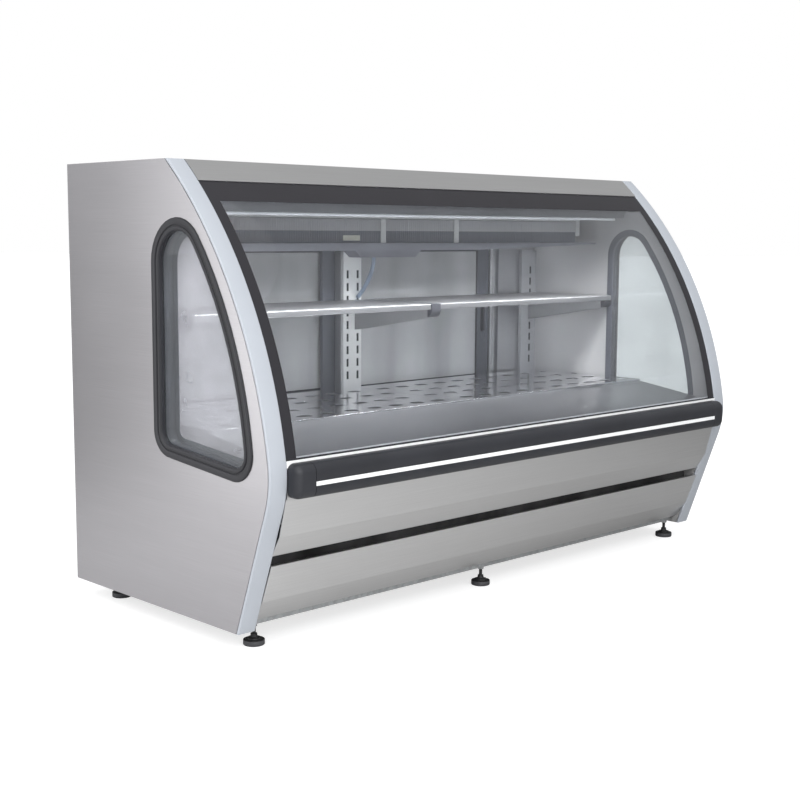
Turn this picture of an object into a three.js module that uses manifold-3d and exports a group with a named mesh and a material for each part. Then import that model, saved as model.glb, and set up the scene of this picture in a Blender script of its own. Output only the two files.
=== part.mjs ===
// Refrigerated deli case with a curved glass front, two sliding rear doors and a built-in condensing unit.
// Millimetres, +Z up, +X to the customer's right as they face the rear, -Y towards the customer.
// Outlines are drawn as (ahead, height): ahead of the rear plane, and above the underside of the side panels.
import * as THREE from "three";
import { mergeVertices } from "three/addons/utils/BufferGeometryUtils.js";
import Module from "manifold-3d";

const wasm = await Module();
wasm.setup();

// Driving dimensions.
const WIDTH = 2000;
const DEPTH = 955;
const PANEL_HEIGHT = 1205;
const FOOT_LIFT = 50;
const PANEL_THICK = 54;
const GAP = 0.4;
const REAR = DEPTH / 2;
const HALF = WIDTH / 2;
const INNER = HALF - PANEL_THICK;
const SPAN = INNER - 0.5;

// Front edge of the side panels: a leaning straight line, a soft knee and one large arc.
const LINE_FOOT = 781;
const LINE_LEAN = 0.36;
const KNEE_LOW = 330;
const KNEE_HIGH = 440;
const ARC = { ahead: -315, height: 267, radius: 1242 };

// Side window: four arcs joined by straight tangents.
const WINDOW_ARCS = {
  top: { ahead: 538.5, height: 936.5, radius: 117.5 },
  front: { ahead: -236, height: 345, radius: 1092 },
  low: { ahead: 773.4, height: 469.2, radius: 75 },
  rear: { ahead: 493, height: 492.3, radius: 72 },
};
const GASKET_LAP = 22;
const GASKET_WIDTH = 34;

// Heights and depths that several parts share.
const REAR_SKIN = 4;
const WALL_FRONT = 62;
const WELL = { under: 400, floor: 440, kerb: 480, kerbFront: 124, front: 911 };
const DOORWAY = { left: -880, right: 732, low: 475, high: 965 };
const CEILING = 1150;
const DECK = { top: 500, rear: 110, front: 605 };
const SHELF = { top: 794, lip: 18, rear: 112, front: 467 };
const STANDARD = { back: 92, front: 106, top: 952 };
const SLOTS = { first: 527, pitch: 42.2, high: 27, wide: 10 };
const MID_POST = { left: -42, right: 38 };
const STILE = 60;
const BUMPER = { low: 364, high: 452, back: 914, front: 955, corner: 24, half: 885 };
const STRIPE = { low: 395, high: 406, depth: 3 };
const FOOT_ROWS = [
  { name: "front", ahead: 740 },
  { name: "rear", ahead: 110 },
];
const FOOT_COLUMNS = [
  { name: "left", x: -918 },
  { name: "middle", x: -45 },
  { name: "right", x: 918 },
];
const SIDES = [
  { name: "left", sign: -1 },
  { name: "right", sign: 1 },
];

// ---------- Finishes ----------

const finish = (color, roughness, metalness) =>
  new THREE.MeshStandardMaterial({ color, roughness, metalness });
const STEEL = finish(0xb9b8b8, 0.32, 1.0);
const INSIDE_STEEL = finish(0x9a9c9c, 0.35, 1.0);
const TRIM = finish(0xdfe5ea, 0.35, 0.2);
const BLACK_RUBBER = finish(0x0c0c0d, 0.65, 0.0);
const CHARCOAL = finish(0x3b3d42, 0.5, 0.0);
const WHITE_PLASTIC = finish(0xf1f2f2, 0.35, 0.0);
const DOOR_PROFILE = finish(0x5b636c, 0.5, 0.1);
const GALVANISED = finish(0x8d9294, 0.45, 1.0);
const BLACK_PAINT = finish(0x141414, 0.5, 0.2);
const COPPER_FIN = finish(0x9d8f80, 0.45, 1.0);
const DARK_TRAY = finish(0x33363a, 0.5, 0.1);
const glass = (opacity) => {
  const made = finish(0xd8e4e2, 0.05, 0);
  made.transparent = true;
  made.opacity = opacity;
  return made;
};
const CLEAR_GLASS = glass(0.3);
const DOOR_GLASS = glass(0.6);

// ---------- Geometry helpers ----------

const toY = (ahead) => REAR - ahead;
const toZ = (height) => FOOT_LIFT + height;

// A solid for cutting and joining, from any closed geometry.
function solid(geometry) {
  const bare = geometry.clone();
  bare.deleteAttribute("normal");
  bare.deleteAttribute("uv");
  const merged = mergeVertices(bare, 1e-3);
  const vertProperties = new Float32Array(merged.attributes.position.array);
  const triVerts = new Uint32Array(merged.index.array);
  return new wasm.Manifold(new wasm.Mesh({ numProp: 3, vertProperties, triVerts }));
}

function fromSolid(made) {
  const mesh = made.getMesh();
  const geometry = new THREE.BufferGeometry();
  const count = mesh.numProp;
  const places = new Float32Array(mesh.numVert * 3);
  for (let i = 0; i < mesh.numVert; i++) {
    places.set(mesh.vertProperties.subarray(i * count, i * count + 3), i * 3);
  }
  geometry.setAttribute("position", new THREE.BufferAttribute(places, 3));
  geometry.setIndex(new THREE.BufferAttribute(new Uint32Array(mesh.triVerts), 1));
  geometry.computeVertexNormals();
  return geometry;
}

const cut = (geometry, tools) =>
  fromSolid(tools.reduce((body, tool) => body.subtract(solid(tool)), solid(geometry)));
const join = (geometries) =>
  fromSolid(geometries.slice(1).reduce((body, other) => body.add(solid(other)), solid(geometries[0])));
const overlapOf = (first, second) => fromSolid(solid(first).intersect(solid(second)));

const vectors = (points) => points.map(([u, v]) => new THREE.Vector2(u, v));

// The same points, running anticlockwise.
function anticlockwise(points) {
  const loop = vectors(points);
  return THREE.ShapeUtils.isClockWise(loop) ? loop.reverse() : loop;
}

function prism(points, depth, holes = []) {
  const shape = new THREE.Shape(anticlockwise(points));
  shape.holes = holes.map((hole) => new THREE.Path(anticlockwise(hole)));
  return new THREE.ExtrudeGeometry(shape, { depth, bevelEnabled: false });
}

// Extrudes an (ahead, height) outline across the case, between two places on X.
function across(points, xA, xB, holes = []) {
  const low = Math.min(xA, xB);
  const high = Math.max(xA, xB);
  const turn = new THREE.Matrix4().makeBasis(
    new THREE.Vector3(0, -1, 0),
    new THREE.Vector3(0, 0, 1),
    new THREE.Vector3(-1, 0, 0),
  );
  return prism(points, high - low, holes).applyMatrix4(turn).translate(high, REAR, FOOT_LIFT);
}

// Extrudes an (x, height) outline forwards, between two depths.
function forwards(points, from, to, holes = []) {
  return prism(points, to - from, holes).rotateX(Math.PI / 2).translate(0, toY(from), FOOT_LIFT);
}

// Extrudes an (x, ahead) outline upwards, between two heights.
function upwards(points, low, high) {
  const plan = points.map(([x, ahead]) => [x, toY(ahead)]);
  return prism(plan, high - low).translate(0, 0, toZ(low));
}

function block([x0, x1], [ahead0, ahead1], [low, high]) {
  const geometry = new THREE.BoxGeometry(x1 - x0, ahead1 - ahead0, high - low);
  return geometry.translate((x0 + x1) / 2, toY((ahead0 + ahead1) / 2), toZ((low + high) / 2));
}

const rectangle = (u0, u1, v0, v1) => [[u0, v0], [u1, v0], [u1, v1], [u0, v1]];

// A vertical round bar or disc.
function post(x, ahead, radius, low, high, sides = 12) {
  const bar = new THREE.CylinderGeometry(radius, radius, high - low, sides).rotateX(Math.PI / 2);
  return bar.translate(x, toY(ahead), toZ((low + high) / 2));
}

// A round bar along the depth of the case.
function bar(x, height, radius, from, to, sides = 16) {
  const made = new THREE.CylinderGeometry(radius, radius, to - from, sides);
  return made.translate(x, toY((from + to) / 2), toZ(height));
}

function arcPoints({ ahead, height, radius }, from, to, steps) {
  return Array.from({ length: steps + 1 }, (_, i) => {
    const angle = from + ((to - from) * i) / steps;
    return [ahead + radius * Math.cos(angle), height + radius * Math.sin(angle)];
  });
}

// A sheet of even thickness that follows a line of bends, thickened to the line's left.
function sheet(line, thickness) {
  const normals = line.slice(1).map(([u, v], i) => {
    const [du, dv] = [u - line[i][0], v - line[i][1]];
    const length = Math.hypot(du, dv);
    return [-dv / length, du / length];
  });
  const back = line.map(([u, v], i) => {
    const before = normals[Math.max(i - 1, 0)];
    const after = normals[Math.min(i, normals.length - 1)];
    const scale = thickness / (1 + before[0] * after[0] + before[1] * after[1]);
    return [u + (before[0] + after[0]) * scale, v + (before[1] + after[1]) * scale];
  });
  return [...line, ...back.reverse()];
}

// How far ahead the panels' front edge lies at a height, set back square to the edge by inset.
function frontAt(height, inset = 0) {
  const line = (h) => LINE_FOOT - inset * Math.hypot(1, LINE_LEAN) + LINE_LEAN * h;
  const arc = (h) => ARC.ahead + Math.sqrt((ARC.radius - inset) ** 2 - (h - ARC.height) ** 2);
  if (height <= KNEE_LOW) return line(height);
  if (height >= KNEE_HIGH) return arc(height);
  const t = (height - KNEE_LOW) / (KNEE_HIGH - KNEE_LOW);
  const corner = line((KNEE_LOW + KNEE_HIGH) / 2);
  return (1 - t) ** 2 * line(KNEE_LOW) + 2 * t * (1 - t) * corner + t ** 2 * arc(KNEE_HIGH);
}

// Points up the front edge: close together round the knee, evenly spaced on the arc.
function frontEdge(low, high, inset = 0) {
  const heights = [low];
  for (let h = KNEE_LOW; h < KNEE_HIGH; h += 22) heights.push(h);
  const arcLow = Math.max(KNEE_HIGH, low);
  const steps = 12;
  for (let i = 0; i <= steps; i++) heights.push(arcLow + ((high - arcLow) * i) / steps);
  const wanted = heights.filter((h, i) => h >= low && h <= high && (i === 0 || h > low + 1));
  return wanted.map((h) => [frontAt(h, inset), h]);
}

const bearing = (from, to) => Math.atan2(to.height - from.height, to.ahead - from.ahead);

// The side window's outline, set in by inset all round.
function windowOutline(inset) {
  const [top, front, low, rear] = Object.values(WINDOW_ARCS).map((arc) => ({
    ...arc,
    radius: arc.radius - inset,
  }));
  const distance = Math.hypot(low.ahead - rear.ahead, low.height - rear.height);
  const under = bearing(rear, low) - Math.acos((rear.radius - low.radius) / distance);
  const upper = bearing(front, top);
  const lower = bearing(front, low);
  return [
    ...arcPoints(top, Math.PI, upper, 9),
    ...arcPoints(front, upper, lower, 8).slice(1),
    ...arcPoints(low, lower, under, 7).slice(1),
    ...arcPoints(rear, under, -Math.PI, 6),
  ];
}

// ---------- Assembly ----------

const deliCase = new THREE.Group();

function group(name) {
  const made = new THREE.Group();
  made.name = name;
  deliCase.add(made);
  return made;
}

function part(home, name, geometry, material) {
  const mesh = new THREE.Mesh(geometry, material);
  mesh.name = name;
  home.add(mesh);
  return mesh;
}

// ---------- Base and feet ----------

const base = group("base");
const PAN = { rear: 12, front: 756, under: 8, rim: 46, skin: 3 };
const FOOT = { radius: 28.5, rim: 14, neck: 22, stem: 5, stemTop: 74, nut: 9.5, nutThick: 8, nutMiddle: 53 };

function makePan() {
  const body = block([-SPAN, SPAN], [PAN.rear, PAN.front], [PAN.under, PAN.rim]);
  const hollow = block(
    [-SPAN + PAN.skin, SPAN - PAN.skin],
    [PAN.rear + PAN.skin, PAN.front - PAN.skin],
    [PAN.under + PAN.skin, PAN.rim + 1],
  );
  const holes = FOOT_ROWS.flatMap(({ ahead }) =>
    FOOT_COLUMNS.map(({ x }) => post(x, ahead, FOOT.stem + 1, PAN.under - 2, PAN.under + 6, 10)),
  );
  return cut(body, [hollow, ...holes]);
}
part(base, "base_pan", makePan(), GALVANISED);

// One turned foot: domed disc, waisted neck, threaded stem with a lock nut under the pan.
function makeFoot() {
  const profile = [
    [0, 0],
    [FOOT.radius - 2, 0],
    [FOOT.radius, 2],
    [FOOT.radius, FOOT.rim],
    [FOOT.radius * 0.72, FOOT.neck - 5],
    [FOOT.stem + 4, FOOT.neck],
    [FOOT.stem, FOOT.neck + 2],
    [FOOT.stem, FOOT.stemTop],
    [0, FOOT.stemTop],
  ];
  const turned = new THREE.LatheGeometry(vectors(profile), 14).rotateX(Math.PI / 2);
  const nut = new THREE.CylinderGeometry(FOOT.nut, FOOT.nut, FOOT.nutThick, 6).rotateX(Math.PI / 2);
  return join([turned, nut.translate(0, 0, FOOT.nutMiddle)]);
}
for (const row of FOOT_ROWS) {
  for (const column of FOOT_COLUMNS) {
    const foot = part(base, `foot_${row.name}_${column.name}`, makeFoot(), BLACK_RUBBER);
    foot.position.set(column.x, toY(row.ahead), 0);
  }
}

// ---------- Side panels ----------

const sides = group("sides");
const STRIP_THICK = 8;
const GLAZING = { near: 28, far: 10.4 };
const FLANGE = 4.4;
const LIP_DEPTH = 10;

for (const { name, sign } of SIDES) {
  const outer = sign * HALF;
  const inner = sign * INNER;
  const body = [[0, 0], ...frontEdge(0, PANEL_HEIGHT, STRIP_THICK + GAP), [0, PANEL_HEIGHT]];
  part(sides, `side_panel_${name}`, across(body, inner, outer, [windowOutline(GASKET_LAP)]), STEEL);

  const strip = [...frontEdge(0, PANEL_HEIGHT), ...frontEdge(0, PANEL_HEIGHT, STRIP_THICK).reverse()];
  part(sides, `edge_strip_${name}`, across(strip, inner, outer), TRIM);

  const light = [windowOutline(GASKET_WIDTH)];
  const flange = across(windowOutline(0), outer + sign * GAP, outer + sign * FLANGE, light);
  const lip = across(windowOutline(GASKET_LAP + GAP), outer - sign * LIP_DEPTH, outer + sign, light);
  part(sides, `window_gasket_${name}`, join([flange, lip]), BLACK_RUBBER);

  const near = outer - sign * GLAZING.near;
  const far = outer - sign * GLAZING.far;
  part(sides, `window_glazing_${name}`, across(windowOutline(GASKET_LAP + 1), near, far), CLEAR_GLASS);
}

// ---------- Insulated shell between the panels ----------

const shell = group("shell");

const SURROUND = { low: DOORWAY.low - 20, high: DOORWAY.high + 20 };
const wellOutline = [
  [REAR_SKIN, WELL.under],
  [WELL.front, WELL.under],
  [WELL.front, WELL.floor],
  [WELL.kerbFront, WELL.floor],
  [WELL.kerbFront, WELL.kerb],
  [WALL_FRONT + GAP, WELL.kerb],
  [WALL_FRONT + GAP, SURROUND.low - GAP],
  [REAR_SKIN, SURROUND.low - GAP],
];
part(shell, "well_floor", across(wellOutline, -SPAN, SPAN), INSIDE_STEEL);

// The header's upper flange laps over a step along the front of the top panel.
const HEADER = { rear: 440, foot: 1148, thick: 3, returnTo: 530, topFront: 488 };
const topOutline = [
  [REAR_SKIN, CEILING],
  [HEADER.topFront, CEILING],
  [HEADER.topFront, PANEL_HEIGHT - HEADER.thick - 0.5],
  [HEADER.rear - 0.5, PANEL_HEIGHT - HEADER.thick - 0.5],
  [HEADER.rear - 0.5, PANEL_HEIGHT],
  [REAR_SKIN, PANEL_HEIGHT],
];
part(shell, "top_panel", across(topOutline, -SPAN, SPAN), STEEL);

const headerOutline = sheet(
  [
    [HEADER.returnTo, HEADER.foot],
    ...[HEADER.foot, 1167, 1186, PANEL_HEIGHT].map((height) => [frontAt(height), height]),
    [HEADER.rear, PANEL_HEIGHT],
  ],
  HEADER.thick,
);
part(shell, "header", across(headerOutline, -SPAN, SPAN), STEEL);

part(
  shell,
  "rear_upper_panel",
  block([-SPAN, SPAN], [REAR_SKIN, WALL_FRONT], [SURROUND.high + GAP, CEILING - GAP]),
  STEEL,
);

// ---------- Rear lower panel with louvres, control box and cable gland ----------

const CONTROL = { left: -780, right: -620, low: 285, high: 375, deep: 32 };
const GLAND = { x: -820, height: 90, radius: 12, back: 0.5 };
const LOUVRES = { left: 90, right: 510, low: 60, pitch: 30, count: 9, high: 12 };

function makeRearLowerPanel() {
  const face = block([-SPAN, SPAN], [REAR_SKIN, REAR_SKIN + 3], [10, WELL.under - GAP]);
  const window = block(
    [CONTROL.left - GAP, CONTROL.right + GAP],
    [0, 20],
    [CONTROL.low - GAP, CONTROL.high + GAP],
  );
  const slots = Array.from({ length: LOUVRES.count }, (_, i) => {
    const low = LOUVRES.low + i * LOUVRES.pitch;
    return block([LOUVRES.left, LOUVRES.right], [0, 20], [low, low + LOUVRES.high]);
  });
  return cut(face, [window, bar(GLAND.x, GLAND.height, GLAND.radius + GAP, 0, 20), ...slots]);
}
part(shell, "rear_lower_panel", makeRearLowerPanel(), STEEL);

function makeControlBox() {
  const body = block([CONTROL.left, CONTROL.right], [REAR_SKIN, CONTROL.deep], [CONTROL.low, CONTROL.high]);
  const pocket = block(
    [CONTROL.left + 3, CONTROL.right - 3],
    [0, CONTROL.deep - 4],
    [CONTROL.low + 3, CONTROL.high - 3],
  );
  return cut(body, [pocket]);
}
const controls = group("controls");
part(controls, "control_box", makeControlBox(), CHARCOAL);

const CONTROL_FACE = CONTROL.deep - 4 - GAP;
const controlHeight = (CONTROL.low + CONTROL.high) / 2;
const KNOB_X = -735;
const SWITCH_X = -665;

function makeKnob() {
  const profile = [[0, 0], [20, 0], [20, 3], [15, 5], [13.5, 18], [0, 18]];
  const turned = new THREE.LatheGeometry(vectors(profile), 20);
  const grip = new THREE.BoxGeometry(5, 4, 27).translate(0, 19, 0);
  return join([turned, grip]);
}
const knob = part(controls, "thermostat_knob", makeKnob(), CHARCOAL);
knob.position.set(KNOB_X, toY(CONTROL_FACE), toZ(controlHeight));

// The rocker is a shallow V seen from the side. It rests tilted, with its upper half pressed.
const ROCKER = { half: 15, wide: 22, back: 4, ridge: 12, middle: 9, tilt: THREE.MathUtils.degToRad(12) };
function makeRocker() {
  const outline = [
    [0, -1],
    [0, 1],
    [ROCKER.back, ROCKER.half],
    [ROCKER.ridge, ROCKER.half],
    [ROCKER.middle, 0],
    [ROCKER.ridge, -ROCKER.half],
    [ROCKER.back, -ROCKER.half],
  ];
  const made = prism(outline, ROCKER.wide).translate(0, 0, -ROCKER.wide / 2);
  return made.rotateY(Math.PI / 2).rotateX(Math.PI / 2 + ROCKER.tilt);
}
const rocker = part(controls, "light_switch", makeRocker(), BLACK_PAINT);
rocker.position.set(SWITCH_X, toY(CONTROL_FACE - GAP), toZ(controlHeight));

function makeGland() {
  const body = [[4, 0], [9, 0], [11, 3], [11, 12]];
  const washer = [[16, 12], [16, 15]];
  const profile = [...body, ...washer, [11, 15], [11, 26], [4, 26], [4, 0]];
  return new THREE.LatheGeometry(vectors(profile), 16);
}
const gland = part(controls, "cable_gland", makeGland().rotateX(Math.PI), BLACK_RUBBER);
gland.position.set(GLAND.x, toY(GLAND.back), toZ(GLAND.height));

// ---------- Rear doors ----------

const rear = group("rear");
const TRACKS = { outer: 10, inner: 37, wide: 18, lowDeep: 8, highDeep: 16 };
const DOOR = { thick: 15, low: TRACKS.lowDeep - 0.6, high: 12, rail: 21 };

function makeSurround() {
  const face = rectangle(-SPAN, SPAN, SURROUND.low, SURROUND.high);
  const doorway = rectangle(DOORWAY.left, DOORWAY.right, DOORWAY.low, DOORWAY.high);
  const frame = forwards(face, REAR_SKIN, WALL_FRONT, [doorway]);
  const grooves = [TRACKS.outer, TRACKS.inner].map((start) =>
    block(
      [DOORWAY.left, DOORWAY.right],
      [start, start + TRACKS.wide],
      [DOORWAY.low - TRACKS.lowDeep, DOORWAY.high + TRACKS.highDeep],
    ),
  );
  return cut(frame, grooves);
}
part(rear, "door_surround", makeSurround(), STEEL);

const GRIP = { half: 11, deep: 7, low: 650, high: 790 };
const DOORS = [
  { name: "left", left: DOORWAY.left + 0.6, right: -7, track: TRACKS.outer, gripAt: "left" },
  { name: "right", left: -88, right: DOORWAY.right - 0.6, track: TRACKS.inner, gripAt: "right" },
];
for (const door of DOORS) {
  const back = door.track + (TRACKS.wide - DOOR.thick) / 2;
  const front = back + DOOR.thick;
  const low = DOORWAY.low - DOOR.low;
  const high = DOORWAY.high + DOOR.high;
  const light = [door.left + STILE, door.right - STILE, low + DOOR.rail, high - DOOR.rail];
  const frame = forwards(rectangle(door.left, door.right, low, high), back, front, [rectangle(...light)]);
  const gripX = door.gripAt === "left" ? door.left + STILE / 2 : door.right - STILE / 2;
  const gripXs = [gripX - GRIP.half, gripX + GRIP.half];
  const grip = block(gripXs, [back - 1, back + GRIP.deep], [GRIP.low, GRIP.high]);
  part(rear, `door_frame_${door.name}`, cut(frame, [grip]), DOOR_PROFILE);
  const paneXs = [light[0] + GAP, light[1] - GAP];
  const paneHeights = [light[2] + GAP, light[3] - GAP];
  part(rear, `door_glass_${door.name}`, block(paneXs, [back + 4, back + 11], paneHeights), DOOR_GLASS);
}

// The post that carries the middle standard, and the cover that closes the corner right of the doors.
const POST_TOP = SURROUND.high - 1;
const RISER_LEFT = 745;
const postDepth = [WALL_FRONT + GAP, STANDARD.back - GAP];
const postHeight = [WELL.kerb + GAP, POST_TOP];
part(rear, "middle_post", block([MID_POST.left, MID_POST.right], postDepth, postHeight), STEEL);
const riserPlan = sheet(
  [
    [SPAN, postDepth[0]],
    [SPAN, postDepth[1]],
    [RISER_LEFT, postDepth[1]],
    [RISER_LEFT, postDepth[0]],
  ],
  2,
);
part(rear, "riser_cover", upwards(riserPlan, ...postHeight), INSIDE_STEEL);

// ---------- Slotted standards, brackets and shelves ----------

const fittings = group("fittings");
const STANDARDS = [
  { name: "left", left: -944.5, right: -884, back: WALL_FRONT + GAP, columns: [-911] },
  { name: "middle", left: MID_POST.left, right: MID_POST.right, back: STANDARD.back, columns: [-23, 22] },
  { name: "right", left: 861, right: 944.5, back: STANDARD.back, columns: [911] },
];

function makeStandard({ left, right, back, columns }) {
  const low = WELL.kerb + GAP;
  const channel = upwards(
    sheet([[left, back], [left, STANDARD.front], [right, STANDARD.front], [right, back]].reverse(), 2),
    low,
    STANDARD.top,
  );
  const count = Math.floor((STANDARD.top - SLOTS.first - 10) / SLOTS.pitch);
  const slots = columns.flatMap((x) =>
    Array.from({ length: count }, (_, i) => {
      const foot = SLOTS.first + i * SLOTS.pitch;
      return block(
        [x - SLOTS.wide / 2, x + SLOTS.wide / 2],
        [STANDARD.front - 6, STANDARD.front + 4],
        [foot, foot + SLOTS.high],
      );
    }),
  );
  return cut(channel, slots);
}

const BRACKET = { wide: 40, skin: 2.5, rearLow: 693, noseLow: 750, nose: 470, radius: 25 };
const NOSE = { half: 19.5, deep: 18 };

// A tapered bracket, folded like an upside-down channel, with a rounded nose. On the left and middle ones
// the nose also stands up at the end of a shelf half.
function makeBracket(centre, raisedNose) {
  const under = SHELF.top - SHELF.lip;
  const { nose, noseLow, radius } = BRACKET;
  const outline = [
    [STANDARD.front + GAP, BRACKET.rearLow],
    ...arcPoints({ ahead: nose - radius, height: noseLow + radius, radius }, -Math.PI / 2, 0, 5),
    [nose, under - GAP],
    [STANDARD.front + GAP, under - GAP],
  ];
  const hollow = [
    [STANDARD.front + 8, BRACKET.rearLow - 20],
    [nose - radius - 6, noseLow - 20],
    [nose - radius - 6, under - 4],
    [STANDARD.front + 8, under - 4],
  ];
  const halfWide = BRACKET.wide / 2;
  const body = across(outline, centre - halfWide, centre + halfWide);
  const inside = across(hollow, centre - halfWide + BRACKET.skin, centre + halfWide - BRACKET.skin);
  const opened = cut(body, [inside]);
  if (!raisedNose) return opened;
  const noseBlock = block(
    [centre - NOSE.half, centre + NOSE.half],
    [nose - NOSE.deep, nose],
    [under - 4, SHELF.top],
  );
  return join([opened, noseBlock]);
}

const BRACKET_CENTRES = { left: -925, middle: 28, right: 921 };
for (const standard of STANDARDS) {
  part(fittings, `standard_${standard.name}`, makeStandard(standard), TRIM);
  const bracket = makeBracket(BRACKET_CENTRES[standard.name], standard.name !== "right");
  part(fittings, `shelf_bracket_${standard.name}`, bracket, GALVANISED);
}

const NOSE_GAP = 22;
const SHELF_HALVES = [
  { name: "left", from: BRACKET_CENTRES.left + NOSE_GAP, to: BRACKET_CENTRES.middle - NOSE_GAP },
  { name: "right", from: BRACKET_CENTRES.middle + NOSE_GAP, to: SPAN - 5 },
];
const shelfOutline = sheet(
  [
    [SHELF.rear, SHELF.top - SHELF.lip],
    [SHELF.rear, SHELF.top],
    [SHELF.front, SHELF.top],
    [SHELF.front, SHELF.top - SHELF.lip],
    [SHELF.front - 16, SHELF.top - SHELF.lip],
  ].reverse(),
  2,
);
for (const half of SHELF_HALVES) {
  part(fittings, `shelf_${half.name}`, across(shelfOutline, half.from, half.to), STEEL);
}

// ---------- Deck racks and apron ----------

const HOLES = { wide: 44, deep: 30, pitchX: 90, pitchY: 113, rows: 4, columns: 10, first: 210 };
const DECK_FOLD = { rear: 19.6, front: 8.6 };

function makeRack(from, to) {
  const outline = sheet(
    [
      [DECK.rear, DECK.top - DECK_FOLD.rear],
      [DECK.rear, DECK.top],
      [DECK.front, DECK.top],
      [DECK.front, DECK.top - DECK_FOLD.front],
    ].reverse(),
    2,
  );
  const plate = across(outline, from, to);
  const centre = (from + to) / 2;
  const holes = [];
  for (let row = 0; row < HOLES.rows; row++) {
    const shift = row % 2 ? HOLES.pitchX / 4 : -HOLES.pitchX / 4;
    const ahead = HOLES.first + row * HOLES.pitchY;
    for (let column = 0; column < HOLES.columns; column++) {
      const x = centre + (column - (HOLES.columns - 1) / 2) * HOLES.pitchX + shift;
      const [halfWide, halfDeep] = [HOLES.wide / 2, HOLES.deep / 2];
      const xs = [x - halfWide, x + halfWide];
      holes.push(block(xs, [ahead - halfDeep, ahead + halfDeep], [DECK.top - 5, DECK.top + 5]));
    }
  }
  return cut(plate, holes);
}
part(fittings, "deck_rack_left", makeRack(-SPAN + 6, -1), STEEL);
part(fittings, "deck_rack_right", makeRack(1, SPAN - 6), STEEL);

function makeApron() {
  const ledge = DECK.top - DECK_FOLD.front - GAP;
  const skin = across(sheet([[896, 450], [613, ledge], [585, ledge]], 3), -SPAN, SPAN);
  const leg = block([-SPAN, SPAN], [590, 593], [WELL.floor + GAP, ledge - 2]);
  return join([skin, leg]);
}
part(fittings, "front_apron", makeApron(), INSIDE_STEEL);

// ---------- Glass front ----------

const front = group("front");
const sillOutline = [
  [870, WELL.floor + GAP],
  [913.5, WELL.floor + GAP],
  [913.5, 458],
  [910, 458],
  [910, 450],
  [900.4, 450],
  [900.4, 464],
  [897, 464],
  [897, 446],
  [870, 446],
];
part(front, "glass_sill", across(sillOutline, -SPAN, SPAN), STEEL);

const GLASS = { near: 4, far: 10, low: 450.5, high: HEADER.foot - GAP };
const glassOutline = [
  ...frontEdge(GLASS.low, GLASS.high, GLASS.near),
  ...frontEdge(GLASS.low, GLASS.high, GLASS.far).reverse(),
];
part(front, "front_glass", across(glassOutline, -SPAN, SPAN), CLEAR_GLASS);

// ---------- Bumper ----------

function bumperOutline(grooved) {
  const { low, high, back, front: nose, corner } = BUMPER;
  const lowCorner = { ahead: nose - corner, height: low + corner, radius: corner };
  const highCorner = { ahead: nose - corner, height: high - corner, radius: corner };
  const groove = [
    [nose, STRIPE.low - GAP],
    [nose - STRIPE.depth - GAP, STRIPE.low - GAP],
    [nose - STRIPE.depth - GAP, STRIPE.high + GAP],
    [nose, STRIPE.high + GAP],
  ];
  return [
    [back, low],
    ...arcPoints(lowCorner, -Math.PI / 2, 0, 5),
    ...(grooved ? groove : []),
    ...arcPoints(highCorner, 0, Math.PI / 2, 5),
    [back, high],
  ];
}
part(front, "bumper_rail", across(bumperOutline(true), -BUMPER.half, BUMPER.half), CHARCOAL);
part(
  front,
  "bumper_stripe",
  block([-BUMPER.half, BUMPER.half], [BUMPER.front - STRIPE.depth, BUMPER.front], [STRIPE.low, STRIPE.high]),
  WHITE_PLASTIC,
);

// The caps close the rail's ends and round off its outer corners as seen from the front.
function makeCap(sign) {
  const near = sign * (BUMPER.half + GAP);
  const far = sign * SPAN;
  const [low, high] = [BUMPER.low, BUMPER.high];
  const radius = 20;
  const corner = (height, from, to) =>
    arcPoints({ ahead: far - sign * radius, height, radius }, from, to, 5);
  const face =
    sign > 0
      ? [
          [near, low],
          ...corner(low + radius, -Math.PI / 2, 0),
          ...corner(high - radius, 0, Math.PI / 2),
          [near, high],
        ]
      : [
          [near, high],
          ...corner(high - radius, Math.PI / 2, Math.PI),
          ...corner(low + radius, Math.PI, Math.PI * 1.5),
          [near, low],
        ];
  const plug = forwards(face, BUMPER.back - 5, BUMPER.front + 5);
  return overlapOf(across(bumperOutline(false), near, far), plug);
}
for (const { name, sign } of SIDES) part(front, `bumper_cap_${name}`, makeCap(sign), CHARCOAL);

// ---------- Folded front panels ----------

const upperPanel = sheet([[838, 207], [850, 207], [883, 262], [908, 358], [913.4, 364], [913.4, 439.8]], 2);
const lowerPanel = sheet([[758, 25], [772, 25], [810, 80], [850, 182], [838, 182]], 2);
part(front, "upper_front_panel", across(upperPanel, -SPAN, SPAN), STEEL);
part(front, "lower_front_panel", across(lowerPanel, -SPAN, SPAN), STEEL);

// ---------- Lamp, evaporator, drip tray and drain hose ----------

const cooling = group("cooling");
const LAMP = { ahead: 500, height: 1068, radius: 4.5, half: 905 };
const lampOutline = [
  [470, CEILING - GAP],
  [470, 1120],
  [486, LAMP.height + LAMP.radius + GAP],
  [514, LAMP.height + LAMP.radius + GAP],
  [524, 1120],
  [524, CEILING - GAP],
];
part(cooling, "lamp_housing", across(lampOutline, -SPAN + 6, SPAN - 6), INSIDE_STEEL);
const lamp = new THREE.CylinderGeometry(LAMP.radius, LAMP.radius, 2 * LAMP.half, 12).rotateZ(Math.PI / 2);
const lampTube = part(cooling, "lamp_tube", lamp, WHITE_PLASTIC);
lampTube.position.set(0, toY(LAMP.ahead), toZ(LAMP.height - GAP));

const COIL = { left: -870, right: 892, rear: 150, front: 350, low: 986, high: 1058 };
const FIN = { pitch: 42, thick: 12, deep: 6 };

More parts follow.
